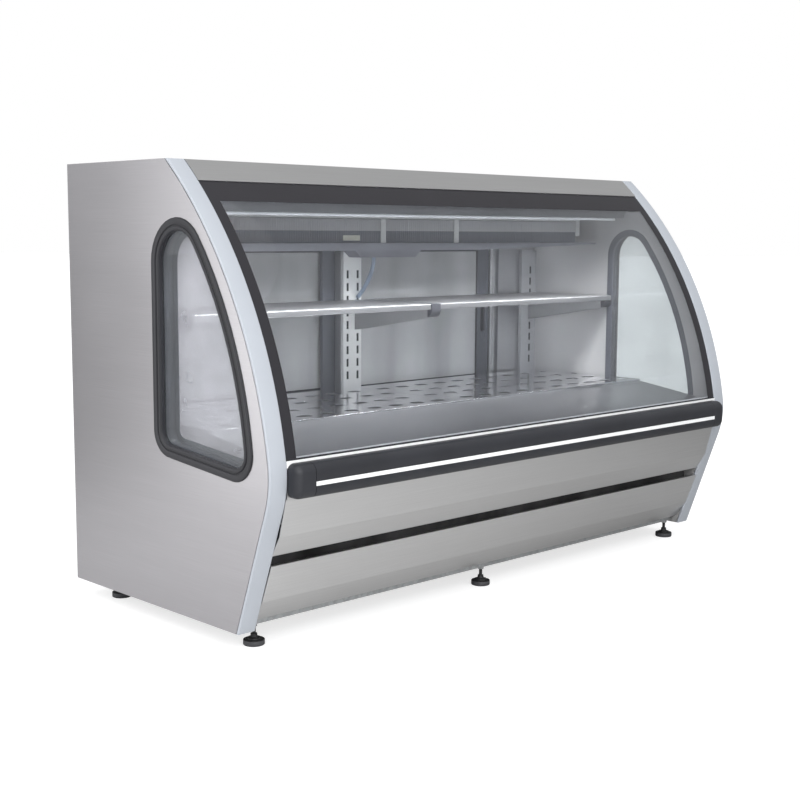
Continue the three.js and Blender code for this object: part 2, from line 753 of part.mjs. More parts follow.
// The coil's finned block: its front face is cut back between blocks of fins.
function makeCoil() {
  const body = block([COIL.left, COIL.right], [COIL.rear, COIL.front], [COIL.low, COIL.high]);
  const count = Math.floor((COIL.right - COIL.left) / FIN.pitch) - 1;
  const gaps = Array.from({ length: count }, (_, i) => {
    const x = COIL.left + (i + 1) * FIN.pitch;
    return block([x, x + FIN.thick], [COIL.front - FIN.deep, COIL.front + 5], [COIL.low + 8, COIL.high - 8]);
  });
  return cut(body, gaps);
}
part(cooling, "evaporator_coil", makeCoil(), GALVANISED);

const STRAPS = [
  { x: -93, foot: COIL.low - 1 },
  { x: 240, foot: COIL.low - 1 },
  { x: 881, foot: COIL.low + 22 },
];
const STRAP_HALF = 11;
function makeHangers() {
  const depths = [COIL.front + GAP, COIL.front + 3];
  const rail = block([COIL.left, COIL.right], depths, [COIL.high + 2, COIL.high + 14]);
  const straps = STRAPS.map(({ x, foot }) =>
    block([x - STRAP_HALF, x + STRAP_HALF], depths, [foot, CEILING - GAP]),
  );
  return join([rail, ...straps]);
}
part(cooling, "evaporator_hanger", makeHangers(), TRIM);

const TRAY = { left: -925, right: 930, rear: 135, front: 400, low: 962, high: 985, skin: 3 };
const TRAY_RISE = { from: 300, by: 16 };
const SUMP = { rear: 165, front: 225, topLeft: -103, lowLeft: -70, lowRight: 177, topRight: 207, low: 936 };

// The tray's floor rises towards its right end. The sump below it has sloping ends.
function trayOutline(inset, high) {
  return [
    [TRAY.left + inset, TRAY.low + inset],
    [TRAY_RISE.from, TRAY.low + inset],
    [TRAY.right - inset, TRAY.low + TRAY_RISE.by + inset],
    [TRAY.right - inset, high],
    [TRAY.left + inset, high],
  ];
}
function sumpOutline(inset, high) {
  return [
    [SUMP.lowLeft + inset, SUMP.low + inset],
    [SUMP.lowRight - inset, SUMP.low + inset],
    [SUMP.topRight - inset, high],
    [SUMP.topLeft + inset, high],
  ];
}
function makeTray() {
  const { skin } = TRAY;
  const body = forwards(trayOutline(0, TRAY.high), TRAY.rear, TRAY.front);
  const sump = forwards(sumpOutline(0, TRAY.low + 1), SUMP.rear, SUMP.front);
  const hollow = forwards(trayOutline(skin, TRAY.high + 1), TRAY.rear + skin, TRAY.front - skin);
  const well = forwards(sumpOutline(skin, TRAY.low + skin + 1), SUMP.rear + skin, SUMP.front - skin);
  return cut(join([body, sump]), [hollow, well]);
}
part(cooling, "drip_tray", makeTray(), DARK_TRAY);

// The drain hose runs from the sump's underside into the face of the middle standard. It stays over the
// gap between the shelf halves, so that either half lifts past it.
const HOSE_RADIUS = 7;
const HOSE_ROUTE = [
  [18, 188, SUMP.low - GAP],
  [18, 187, 915],
  [18, 176, 884],
  [18, 155, 850],
  [17, 133, 822],
  [17, STANDARD.front + 5, 802],
];
function makeHose() {
  const stops = HOSE_ROUTE.map(([x, ahead, height]) => new THREE.Vector3(x, toY(ahead), toZ(height)));
  const ring = arcPoints({ ahead: 0, height: 0, radius: HOSE_RADIUS }, 0, Math.PI * 1.75, 7);
  const section = new THREE.Shape(vectors(ring));
  const extrudePath = new THREE.CatmullRomCurve3(stops);
  return new THREE.ExtrudeGeometry(section, { steps: 14, bevelEnabled: false, extrudePath });
}
part(cooling, "drain_hose", makeHose(), CLEAR_GLASS);

// ---------- Condensing unit in the base ----------

const machine = group("machine");
const MACHINE_FLOOR = PAN.under + PAN.skin + GAP;
const COMPRESSOR = { x: 660, ahead: 330 };

// A welded pot on a base plate, with its terminal box on the side that faces the customer.
function makeCompressor() {
  const profile = [
    [0, 0],
    [88, 0],
    [88, 10],
    [98, 22],
    [100, 92],
    [104, 98],
    [100, 104],
    [94, 168],
    [70, 200],
    [30, 212],
    [0, 214],
  ];
  const pot = new THREE.LatheGeometry(vectors(profile), 18).rotateX(Math.PI / 2);
  const plate = new THREE.BoxGeometry(230, 200, 8).translate(0, 0, 4);
  const terminals = new THREE.BoxGeometry(60, 40, 70).translate(0, -104, 110);
  return join([pot, plate, terminals]);
}
const compressor = part(machine, "compressor", makeCompressor(), BLACK_PAINT);
compressor.position.set(COMPRESSOR.x, toY(COMPRESSOR.ahead), toZ(MACHINE_FLOOR));

const CONDENSER = { xs: [120, 480], rear: 560, front: 650, high: 350 };
const GROOVES = { count: 10, first: 22, pitch: 31, high: 10, deep: 8, margin: 12 };

function makeCondenser() {
  const body = block(CONDENSER.xs, [CONDENSER.rear, CONDENSER.front], [MACHINE_FLOOR, CONDENSER.high]);
  const xs = [CONDENSER.xs[0] + GROOVES.margin, CONDENSER.xs[1] - GROOVES.margin];
  const grooves = Array.from({ length: GROOVES.count }, (_, i) => {
    const low = MACHINE_FLOOR + GROOVES.first + i * GROOVES.pitch;
    return block(xs, [CONDENSER.front - GROOVES.deep, CONDENSER.front + 4], [low, low + GROOVES.high]);
  });
  return cut(body, grooves);
}
part(machine, "condenser_coil", makeCondenser(), COPPER_FIN);

const FAN = { x: 300, height: 180, radius: 95, ahead: 535, hub: 24, thick: 24, blades: 5, pitch: 0.45 };
const SHROUD = { rear: CONDENSER.rear - 44, skin: 3 };
const MOTOR = { radius: 38, rear: 440, front: 500 };
const ARM = { length: 112, wide: 12, thick: 4, ahead: 498 };
const LEG = { out: 134, size: 14, long: 24, ahead: 507 };
const QUARTERS = [0, 1, 2, 3].map((i) => (i * Math.PI) / 2 + Math.PI / 4);

// The shroud is a tray open to the condenser, with a round bore and four arms that hold the motor.
function makeShroud() {
  const plate = block(CONDENSER.xs, [SHROUD.rear, CONDENSER.rear - GAP], [MACHINE_FLOOR, CONDENSER.high]);
  const bore = bar(FAN.x, FAN.height, FAN.radius + 4, SHROUD.rear - 16, CONDENSER.rear + 10, 24);
  const inside = block(
    [CONDENSER.xs[0] + SHROUD.skin, CONDENSER.xs[1] - SHROUD.skin],
    [SHROUD.rear + SHROUD.skin, CONDENSER.rear + 5],
    [MACHINE_FLOOR + SHROUD.skin, CONDENSER.high - SHROUD.skin],
  );
  const motor = bar(FAN.x, FAN.height, MOTOR.radius, MOTOR.rear, MOTOR.front, 16);
  const arms = QUARTERS.map((angle) => {
    const arm = new THREE.BoxGeometry(ARM.length, ARM.thick, ARM.wide);
    arm.translate(MOTOR.radius - 10 + ARM.length / 2, 0, 0).rotateY(angle);
    return arm.translate(FAN.x, toY(ARM.ahead), toZ(FAN.height));
  });
  const legs = QUARTERS.map((angle) => {
    const leg = new THREE.BoxGeometry(LEG.size, LEG.long, LEG.size);
    const [dx, dz] = [LEG.out * Math.cos(angle), LEG.out * Math.sin(angle)];
    return leg.translate(FAN.x + dx, toY(LEG.ahead), toZ(FAN.height + dz));
  });
  return join([cut(plate, [bore, inside]), motor, ...arms, ...legs]);
}
part(machine, "fan_shroud", makeShroud(), GALVANISED);

// Flat blades set at a pitch round the hub. The fan turns on an axis that runs front to back.
function makeFan() {
  const hub = new THREE.CylinderGeometry(FAN.hub, FAN.hub, FAN.thick, 16);
  const blades = Array.from({ length: FAN.blades }, (_, i) => {
    const blade = new THREE.BoxGeometry(FAN.radius - 14, 2, 46).translate((FAN.radius + 14) / 2, 0, 0);
    return blade.rotateX(FAN.pitch).rotateY((i * 2 * Math.PI) / FAN.blades);
  });
  return join([hub, ...blades]);
}
const fan = part(machine, "condenser_fan", makeFan(), BLACK_PAINT);
fan.position.set(FAN.x, toY(FAN.ahead), toZ(FAN.height));

export default deliCase;
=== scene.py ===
# Refrigerated deli case: the looks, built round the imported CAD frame.
# Metres, in the frame's axes: +Z up, +X to the customer's right, -Y towards the customer.
# Outlines are (ahead, height): ahead of the case's rear plane, and above the underside of its side panels.
import math

import bmesh
import bpy
from mathutils import Matrix, Vector


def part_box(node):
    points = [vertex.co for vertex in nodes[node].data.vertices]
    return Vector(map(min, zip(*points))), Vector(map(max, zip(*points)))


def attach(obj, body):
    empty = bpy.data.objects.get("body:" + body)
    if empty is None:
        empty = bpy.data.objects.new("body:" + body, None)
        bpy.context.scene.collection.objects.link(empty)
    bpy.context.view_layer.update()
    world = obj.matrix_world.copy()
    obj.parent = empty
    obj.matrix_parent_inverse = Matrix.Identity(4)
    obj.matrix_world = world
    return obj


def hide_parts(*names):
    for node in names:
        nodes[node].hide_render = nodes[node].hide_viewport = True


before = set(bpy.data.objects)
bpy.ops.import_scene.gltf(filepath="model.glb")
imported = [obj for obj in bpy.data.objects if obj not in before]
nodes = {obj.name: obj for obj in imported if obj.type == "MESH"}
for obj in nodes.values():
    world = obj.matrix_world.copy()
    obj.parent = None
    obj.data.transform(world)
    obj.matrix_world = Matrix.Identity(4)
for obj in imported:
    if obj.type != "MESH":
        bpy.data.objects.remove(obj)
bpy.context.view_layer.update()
scene = bpy.context.scene

# ---------- Places taken from the frame, and the driving dimensions of what is drawn again ----------

panel_low, panel_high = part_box("side_panel_left")
REAR = panel_high.y
LIFT = panel_low.z
HALF = -panel_low.x
INNER = -panel_high.x
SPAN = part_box("header")[1].x
PANEL_HEIGHT = panel_high.z - LIFT

FRONT_ARC = (-0.315, 0.267, 1.242)
FOOT_LINE = 0.781
LINE_LEAN = 0.36
KNEE = (0.330, 0.440)
WINDOW_ARCS = {
    "top": (0.5385, 0.9365, 0.1175),
    "front": (-0.236, 0.345, 1.092),
    "low": (0.7734, 0.4692, 0.075),
    "rear": (0.493, 0.4923, 0.072),
}
SIDES = {"left": -1, "right": 1}


def front_at(height, inset=0.0):
    """How far ahead the side panels' front edge lies, set back square to the edge by inset."""

    def line(h):
        return FOOT_LINE - inset * math.hypot(1, LINE_LEAN) + LINE_LEAN * h

    def arc(h):
        ahead, centre, radius = FRONT_ARC
        return ahead + math.sqrt((radius - inset) ** 2 - (h - centre) ** 2)

    low, high = KNEE
    if height <= low:
        return line(height)
    if height >= high:
        return arc(height)
    t = (height - low) / (high - low)
    return (1 - t) ** 2 * line(low) + 2 * t * (1 - t) * line((low + high) / 2) + t * t * arc(high)


def window_ring(inset, steps=14):
    """The side window's outline set in by inset, with the same number of points at every inset."""
    arcs = {name: (u, v, r - inset) for name, (u, v, r) in WINDOW_ARCS.items()}

    def bearing(a, b):
        return math.atan2(arcs[b][1] - arcs[a][1], arcs[b][0] - arcs[a][0])

    gap = math.hypot(arcs["low"][0] - arcs["rear"][0], arcs["low"][1] - arcs["rear"][1])
    under = bearing("rear", "low") - math.acos((arcs["rear"][2] - arcs["low"][2]) / gap)
    upper = bearing("front", "top")
    lower = bearing("front", "low")
    spans = [
        ("top", math.pi, upper),
        ("front", upper, lower),
        ("low", lower, under),
        ("rear", under, -math.pi),
    ]
    ring = []
    for name, start, end in spans:
        u, v, r = arcs[name]
        for i in range(steps):
            angle = start + (end - start) * i / (steps - 1)
            ring.append((u + r * math.cos(angle), v + r * math.sin(angle)))
    return ring


def at(x, ahead, height):
    return Vector((x, REAR - ahead, LIFT + height))


def centre_of(node):
    low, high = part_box(node)
    return (low + high) / 2


WINDOW_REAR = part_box("window_gasket_right")[1].y

# ---------- Camera ----------

CAMERA_AT = at(-2.9845, 3.4155, 1.0177)
CAMERA_YAW = 0.7696
CAMERA_PITCH = 0.1255
CAMERA_ROLL = 0.0053
CAMERA_LENS = 59.78


def make_camera():
    ahead = Vector((
        math.sin(CAMERA_YAW) * math.cos(CAMERA_PITCH),
        math.cos(CAMERA_YAW) * math.cos(CAMERA_PITCH),
        -math.sin(CAMERA_PITCH),
    ))
    side = Vector((math.cos(CAMERA_YAW), -math.sin(CAMERA_YAW), 0))
    above = side.cross(ahead)
    right = side * math.cos(CAMERA_ROLL) + above * math.sin(CAMERA_ROLL)
    up = above * math.cos(CAMERA_ROLL) - side * math.sin(CAMERA_ROLL)
    camera = bpy.data.objects.new("camera", bpy.data.cameras.new("camera"))
    camera.data.lens = CAMERA_LENS
    camera.matrix_world = Matrix.Translation(CAMERA_AT) @ Matrix((right, up, -ahead)).transposed().to_4x4()
    scene.collection.objects.link(camera)
    scene.camera = camera


make_camera()

# ---------- Materials ----------


class Look:
    """A Principled material, with short ways to add nodes that vary it over the surface."""

    def __init__(self, name, rough, metal=0.0, **sockets):
        self.material = bpy.data.materials.new(name)
        self.material.use_nodes = True
        self.tree = self.material.node_tree
        self.shader = self.tree.nodes["Principled BSDF"]
        self.put("Roughness", rough)
        self.put("Metallic", metal)
        for socket, value in sockets.items():
            self.put(socket.replace("_", " "), value)

    def put(self, socket, value):
        self.shader.inputs[socket].default_value = value

    def node(self, kind, **inputs):
        made = self.tree.nodes.new("ShaderNode" + kind)
        for name, value in inputs.items():
            self.feed(made.inputs[name.replace("_", " ")], value)
        return made

    def feed(self, socket, value):
        if isinstance(value, bpy.types.NodeSocket):
            self.tree.links.new(value, socket)
        else:
            socket.default_value = value

    def places(self, scale=(1, 1, 1)):
        """Points of the surface in the row frame, stretched by scale."""
        coordinates = self.node("TexCoord").outputs["Object"]
        return self.node("Mapping", Vector=coordinates, Scale=scale).outputs["Vector"]

    def noise(self, scale, detail=3.0, stretch=(1, 1, 1), rough=0.55):
        made = self.node("TexNoise", Vector=self.places(stretch), Scale=scale, Detail=detail, Roughness=rough)
        return made.outputs["Fac"]

    def span(self, value, low, high, start=0.3, end=0.7):
        """A value between low and high, as the input goes from start to end."""
        made = self.node("MapRange", Value=value, From_Min=start, From_Max=end, To_Min=low, To_Max=high)
        return made.outputs["Result"]

    def blend(self, factor, first, second):
        made = self.tree.nodes.new("ShaderNodeMix")
        made.data_type = "RGBA"
        self.feed(made.inputs[0], factor)
        self.feed(made.inputs[6], first)
        self.feed(made.inputs[7], second)
        return made.outputs[2]

    def tint(self, factor, dark, light, start=0.3, end=0.7):
        return self.blend(self.span(factor, 0, 1, start, end), (*dark, 1), (*light, 1))

    def colour(self, value):
        self.feed(self.shader.inputs["Base Color"], value)

    def rough(self, value):
        self.feed(self.shader.inputs["Roughness"], value)

    def math(self, operation, first, second):
        made = self.tree.nodes.new("ShaderNodeMath")
        made.operation = operation
        self.feed(made.inputs[0], first)
        self.feed(made.inputs[1], second)
        return made.outputs[0]

    def reflectance(self, straight_on):
        """How much of the light a glass surface mirrors: little straight on, all at a grazing angle."""
        facing = self.node("LayerWeight", Blend=0.5).outputs["Facing"]
        grazing = self.math("POWER", facing, 5.0)
        return self.math("ADD", self.math("MULTIPLY", grazing, 1 - straight_on), straight_on)

    def place(self, axis):
        return self.node("SeparateXYZ", Vector=self.places()).outputs[axis]

    def bump(self, height, distance):
        made = self.node("Bump", Height=height, Distance=distance)
        self.tree.links.new(made.outputs["Normal"], self.shader.inputs["Normal"])

    def layered(self, share, under, over):
        """The shader under, with the shader over it to that share."""
        made = self.node("MixShader", Fac=share)
        self.tree.links.new(under.outputs[0], made.inputs[1])
        self.tree.links.new(over.outputs[0], made.inputs[2])
        return made


GLASS_FACING = 0.04
SKIN_DEPTH = 0.0005
# Over this span the inner faces lighten rearwards, out of a painted shade at the front.
LINING_PAINTED_SHADE_FADE = (WINDOW_REAR - 0.02, WINDOW_REAR + 0.22)
# The door panes' painted light fades out over this height span.
DOOR_PAINTED_LIGHT_FADE = (LIFT + 0.48, LIFT + 0.80)


def scaled(tone, share):
    return tuple(channel * share for channel in tone)


def brushed(name, tone, rough, grain, depth=0.00006, lining=None):
    """Sheet steel with a fine grain along one axis, faint smears and rolling marks.

    A lining is the tone of the side panels' faces towards the inside of the case. Towards the front it is
    painted darker, as painted shade where light through the front glass falls on the wall.
    """
    look = Look(name, rough, 1.0)
    fine = look.noise(1.0, 4.0, tuple(5 if axis == grain else 950 for axis in "XYZ"))
    broad = look.noise(1.0, 2.0, tuple(1.2 if axis == grain else 16 for axis in "XYZ"))
    smear = look.noise(2.3, 1.0)
    tone_fine = look.tint(fine, scaled(tone, 0.93), scaled(tone, 1.05))
    tone_broad = look.blend(look.span(broad, 0.0, 0.5), tone_fine, (*scaled(tone, 0.93), 1))
    if lining:
        from_middle = look.math("ABSOLUTE", look.place("X"), 0.0)
        inner = look.math("LESS_THAN", from_middle, INNER + SKIN_DEPTH)
        # Painted shade: the inner faces are darker towards the front, where light through the front glass
        # falls.
        rearward = look.span(look.place("Y"), 0.0, 1.0, *LINING_PAINTED_SHADE_FADE)
        lining_tone_with_painted_shade = look.blend(rearward, (*scaled(lining, 0.76), 1), (*scaled(lining, 1.32), 1))
        tone_broad = look.blend(inner, tone_broad, lining_tone_with_painted_shade)
        look.feed(look.shader.inputs["Metallic"], look.span(inner, 1.0, 0.2, 0, 1))
    look.colour(tone_broad)
    look.rough(look.span(smear, rough - 0.03, rough + 0.04, 0.1, 0.9))
    look.bump(fine, depth)
    return look.material


def moulded(name, tone, rough, grain_scale, depth, spread=0.12, metal=0.0, gloss=0.5):
    """Plastic, rubber or paint with a fine grain and a slight unevenness."""
    look = Look(name, rough, metal, Specular_IOR_Level=gloss)
    grain = look.noise(grain_scale, 3.0)
    cloud = look.noise(7.0, 3.0)
    look.colour(look.tint(cloud, scaled(tone, 1 - spread), scaled(tone, 1 + spread)))
    look.rough(look.span(grain, rough - 0.05, rough + 0.07))
    look.bump(grain, depth)
    return look.material


def zoned(name, tone, rough, axis, edge, far_tone):
    """Paint or metal of one tone below a place on an axis, and of another above it."""
    look = Look(name, rough)
    grain = look.noise(600, 3.0)
    beyond = look.math("GREATER_THAN", look.place(axis), edge)
    near = look.tint(grain, scaled(tone, 0.95), scaled(tone, 1.05))
    far = look.tint(grain, scaled(far_tone, 0.95), scaled(far_tone, 1.05))
    look.colour(look.blend(beyond, near, far))
    look.bump(grain, 0.00005)
    return look.material


def spangled(name, tone, rough):
    """Galvanised sheet: crystal patches of slightly different brightness."""
    look = Look(name, rough, 1.0)
    cells = look.node("TexVoronoi", Vector=look.places(), Scale=90.0)
    patch = look.node("RGBToBW", Color=cells.outputs["Color"]).outputs["Val"]
    look.colour(look.tint(patch, scaled(tone, 0.86), scaled(tone, 1.1), 0.2, 0.8))
    look.rough(look.span(patch, rough - 0.05, rough + 0.08, 0.2, 0.8))
    look.bump(look.noise(300.0), 0.00008)
    return look.material


def pane(name, clear, tone, gloss_rough=0.02, faint=6.0, haze=None, low_painted_light=None, mirror=GLASS_FACING):
    """Flat glass: lets light straight through, reflects by angle, and carries a faint uneven film.

    A haze is the share and shade of a dull film. Low down it may turn paler, as painted light for the bright
    room seen through the glass, and it carries dark streaks of painted reflection.
    """
    look = Look(name, gloss_rough)
    tree = look.tree
    tree.nodes.remove(look.shader)
    film = look.span(look.noise(faint, 3.0), 0.0, 1.0)
    through = look.node("BsdfTransparent")
    look.feed(through.inputs["Color"], look.blend(film, (*scaled(clear, 0.97), 1), (*clear, 1)))
    gloss = look.node("BsdfGlossy", Color=(*tone, 1), Roughness=gloss_rough)
    base = through
    if haze:
        share, shade = haze
        dull = look.node("BsdfDiffuse")
        dull_tone = look.blend(film, (*scaled(shade, 0.94), 1), (*shade, 1))
        if low_painted_light:
            # Painted light: the film turns paler towards the bottom, where the bright room shows through.
            painted_light_lowness = look.span(look.place("Z"), 1.0, 0.0, *DOOR_PAINTED_LIGHT_FADE)
            dull_tone = look.blend(painted_light_lowness, dull_tone, (*low_painted_light, 1))
            # Painted reflection: soft dark vertical streaks across the film.
            painted_reflection_streak = look.span(look.noise(1.0, 1.5, (7, 1, 0.4)), 0.0, 0.55)
            dull_tone = look.blend(painted_reflection_streak, dull_tone, (*scaled(shade, 0.45), 1))
        look.feed(dull.inputs["Color"], dull_tone)
        base = look.layered(look.span(film, share * 0.9, share * 1.1, 0, 1), base, dull)
    mixed = look.layered(look.reflectance(mirror), base, gloss)
    tree.links.new(mixed.outputs[0], tree.nodes["Material Output"].inputs["Surface"])
    return look.material


def glowing(name, tone, strength):
    look = Look(name, 0.4, 0.0, Emission_Strength=strength)
    cloud = look.noise(30.0)
    glow = look.tint(cloud, scaled(tone, 0.96), tone)
    look.colour(glow)
    look.feed(look.shader.inputs["Emission Color"], glow)
    return look.material


STEEL_TONE = (0.61, 0.607, 0.605)
FOOT_RIM_TOP = 0.0134
NOSE_REAR = REAR - 0.450
COIL_MIDDLE = centre_of("evaporator_coil").z
GLASS_GLOSS = (0.95, 0.97, 1.0)

STEEL_SIDE = brushed("steel_side", (0.40, 0.39, 0.405), 0.36, "Y", lining=(0.48, 0.475, 0.475))
STEEL_LONG = brushed("steel_long", STEEL_TONE, 0.30, "X")
STEEL_UPRIGHT = brushed("steel_upright", STEEL_TONE, 0.32, "Z")
STEEL_INSIDE = brushed("steel_inside", (0.48, 0.485, 0.50), 0.30, "X")
STEEL_SHADED = brushed("steel_shaded", (0.32, 0.325, 0.34), 0.34, "X")
STEEL_SHELF = brushed("steel_shelf", (0.45, 0.45, 0.46), 0.46, "X")
STEEL_DECK = brushed("steel_deck", (0.93, 0.93, 0.95), 0.15, "X")
TRIM = moulded("pale_trim", (0.395, 0.42, 0.46), 0.36, 900, 0.00004, 0.02)
FITTING = moulded("white_fitting", (0.80, 0.81, 0.80), 0.42, 600, 0.00005, 0.03)
# A darker copy of the white fitting paint, as painted shade on the outer standards.
FITTING_PAINTED_SHADE = moulded("fitting_painted_shade", (0.40, 0.405, 0.42), 0.5, 600, 0.00005, 0.05)
RUBBER = moulded("black_rubber", (0.016, 0.016, 0.020), 0.48, 700, 0.00008, gloss=0.35)
FOOT_PLASTIC = zoned("foot_plastic", (0.045, 0.045, 0.05), 0.6, "Z", FOOT_RIM_TOP, (0.006, 0.006, 0.007))
CHARCOAL = moulded("charcoal_plastic", (0.022, 0.023, 0.028), 0.45, 1100, 0.00008, gloss=0.35)
WHITE = moulded("white_plastic", (0.86, 0.87, 0.87), 0.35, 500, 0.00003, 0.02)
SLATE = moulded("slate_reveal", (0.055, 0.059, 0.073), 0.5, 500, 0.00004)
PROFILE = moulded("door_profile", (0.088, 0.095, 0.115), 0.42, 800, 0.00004)
# Painted shade for the inside of the gap between the front panels: blotchy dark grey.
GAP_PAINTED_SHADE = moulded("gap_painted_shade", (0.05, 0.05, 0.051), 0.5, 500, 0.00006, spread=0.8)
GALVANISED = spangled("galvanised", (0.40, 0.41, 0.415), 0.42)
BLACK_PAINT = moulded("black_paint", (0.012, 0.012, 0.013), 0.35, 260, 0.0002)
TRAY = moulded("dark_tray", (0.175, 0.18, 0.205), 0.45, 600, 0.00006)
COPPER = moulded("copper_tube", (0.62, 0.30, 0.17), 0.35, 200, 0.00003, 0.15, 1.0)
# Painted shade: the bracket's nose, ahead of NOSE_REAR, is near black where the fill light falls; the body is
# grey paint.
BRACKET_PAINT_AND_NOSE_SHADE = zoned("bracket_paint_and_nose_shade", (0.020, 0.021, 0.028), 0.8, "Y", NOSE_REAR, (0.27, 0.272, 0.28))
COIL_FIN = zoned("coil_fin", (0.34, 0.355, 0.40), 0.5, "Z", COIL_MIDDLE, (0.85, 0.86, 0.88))
CONDENSER_FIN = brushed("condenser_fin", (0.30, 0.29, 0.28), 0.45, "Z")
CERAMIC = moulded("black_ceramic", (0.023, 0.022, 0.026), 0.40, 300, 0.00001, 0.05, gloss=0.25)
LABEL = moulded("blank_label", (0.78, 0.77, 0.66), 0.55, 400, 0.00003, 0.04)
FRONT_GLASS = pane("front_glass", (0.88, 0.89, 0.90), GLASS_GLOSS, haze=(0.02, (0.74, 0.75, 0.80)),
                   mirror=0.015)
SIDE_GLASS = pane("side_glass", (0.93, 0.945, 0.945), GLASS_GLOSS, haze=(0.03, (0.82, 0.82, 0.85)))
# Painted reflection: the left window's inner pane carries a pale film for the bright room mirrored in it.
LEFT_PANE_PAINTED_REFLECTION = pane("left_pane_painted_reflection", (0.96, 0.97, 0.97), GLASS_GLOSS, haze=(0.29, (0.98, 0.92, 0.99)))
# The rear door panes turn paler low down as painted light, and carry streaks of painted reflection.
DOOR_GLASS = pane("door_glass", (0.58, 0.60, 0.63), (0.9, 0.95, 1.0), 0.06, 3.0, (0.82, (0.53, 0.53, 0.535)),
                  low_painted_light=(1.0, 1.0, 1.0))
HOSE = pane("clear_hose", (0.66, 0.74, 0.84), (0.9, 0.95, 1.0), 0.1, 60.0, (0.25, (0.42, 0.5, 0.6)))
LAMP = glowing("lamp_glow", (0.80, 0.83, 0.86), 0.16)

# ---------- Mesh helpers ----------


def mesh_of(vertices, faces):
    made = bpy.data.meshes.new("mesh")
    made.from_pydata([tuple(v) for v in vertices], [], faces)
    made.validate()
    return made


def cleaned(mesh, sharp=35):
    """Welds, turns every face outwards and smooths across edges shallower than sharp."""
    work = bmesh.new()
    work.from_mesh(mesh)
    bmesh.ops.remove_doubles(work, verts=work.verts, dist=1e-6)
    bmesh.ops.recalc_face_normals(work, faces=work.faces)
    work.to_mesh(mesh)
    work.free()
    mesh.shade_smooth()
    mesh.set_sharp_from_angle(angle=math.radians(sharp))
    return mesh


def finished(work):
    made = bpy.data.meshes.new("mesh")
    work.to_mesh(made)
    work.free()
    return made


def merged(meshes):
    """One mesh that holds all of them, as separate shells."""
    work = bmesh.new()
    for mesh in meshes:
        work.from_mesh(mesh)
    return finished(work)


def piece(name, mesh, material, body="cabinet", replaces=(), sharp=35):
    obj = bpy.data.objects.new(name, cleaned(mesh, sharp))
    mesh.materials.append(material)
    scene.collection.objects.link(obj)
    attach(obj, body)
    if replaces:
        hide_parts(*replaces)
    return obj


def rings(loops, closed=False, capped=True):
    """A skin through loops of points that each have the same count."""
    count = len(loops[0])
    vertices = [p for loop in loops for p in loop]
    faces = []
    for i in range(len(loops) if closed else len(loops) - 1):
        a, b = i * count, (i + 1) % len(loops) * count
        for j in range(count):
            k = (j + 1) % count
            faces.append((a + j, a + k, b + k, b + j))
    if capped and not closed:
        faces.append(tuple(range(count)))
        faces.append(tuple(range(len(vertices) - count, len(vertices))))
    return mesh_of(vertices, faces)


def run(outline, x0, x1):
    """An (ahead, height) outline along the case, between two places on X."""
    return rings([[at(x, u, v) for u, v in outline] for x in (x0, x1)])


def fold(line, thick, radius):
    """The outline of a sheet along line, thickened to its left, with rounded bends."""
    soft = [Vector(line[0])]
    for before, corner, after in zip(line, line[1:], line[2:]):
        a, p, b = Vector(before), Vector(corner), Vector(after)
        u, v = (p - a).normalized(), (b - p).normalized()
        turn = u.x * v.y - u.y * v.x
        size = radius + (thick if turn > 0 else 0)
        reach = min(size * math.tan(u.angle(v) / 2), 0.45 * (p - a).length, 0.45 * (b - p).length)
        start, end = p - u * reach, p + v * reach
        for i in range(7):
            t = i / 6
            soft.append((1 - t) ** 2 * start + 2 * t * (1 - t) * p + t * t * end)
    soft.append(Vector(line[-1]))
    normals = []
    for a, b in zip(soft, soft[1:]):
        d = (b - a).normalized()
        normals.append(Vector((-d.y, d.x)))
    back = []
    for i, p in enumerate(soft):
        before = normals[max(i - 1, 0)]
        after = normals[min(i, len(normals) - 1)]
        back.append(p + (before + after) * thick / (1 + before.dot(after)))
    return [tuple(p) for p in soft + back[::-1]]


def rounded(u0, u1, v0, v1, radius, steps=4):
    """A rectangle's outline with round corners, anticlockwise."""
    centres = [(u1 - radius, v0 + radius), (u1 - radius, v1 - radius), (u0 + radius, v1 - radius),
               (u0 + radius, v0 + radius)]
    ring = []
    for corner, (u, v) in enumerate(centres):
        for i in range(steps + 1):
            angle = math.pi / 2 * (corner - 1 + i / steps)
            ring.append((u + radius * math.cos(angle), v + radius * math.sin(angle)))
    return ring


PLATE_SHARP = 12


def plate(outline, holes, thick, bevel, place):
    """A flat sheet with holes and softened edges. It is drawn in its own plane and then placed."""
    curve = bpy.data.curves.new("plate", "CURVE")
    curve.dimensions = "2D"
    curve.fill_mode = "BOTH"
    curve.extrude = thick / 2 - bevel
    curve.bevel_depth = bevel
    curve.bevel_resolution = 1
    curve.offset = -bevel
    for ring in [outline, *holes]:
        spline = curve.splines.new("POLY")
        spline.points.add(len(ring) - 1)
        for point, (u, v) in zip(spline.points, ring):
            point.co = (u, v, 0, 1)
        spline.use_cyclic_u = True
    holder = bpy.data.objects.new("plate", curve)
    scene.collection.objects.link(holder)
    graph = bpy.context.evaluated_depsgraph_get()
    made = bpy.data.meshes.new_from_object(holder.evaluated_get(graph))
    bpy.data.objects.remove(holder)
    bpy.data.curves.remove(curve)
    made.transform(place)
    return made


def facing_rear(ahead):
    """Places a plate drawn in (x, height) so that its middle lies at that depth."""
    turn = Matrix(((1, 0, 0), (0, 0, -1), (0, 1, 0))).to_4x4()
    return Matrix.Translation(at(0, ahead, 0)) @ turn


def lying(height):
    """Places a plate drawn in (x, ahead) so that its middle lies at that height."""
    turn = Matrix(((1, 0, 0), (0, -1, 0), (0, 0, -1))).to_4x4()
    return Matrix.Translation(at(0, 0, height)) @ turn


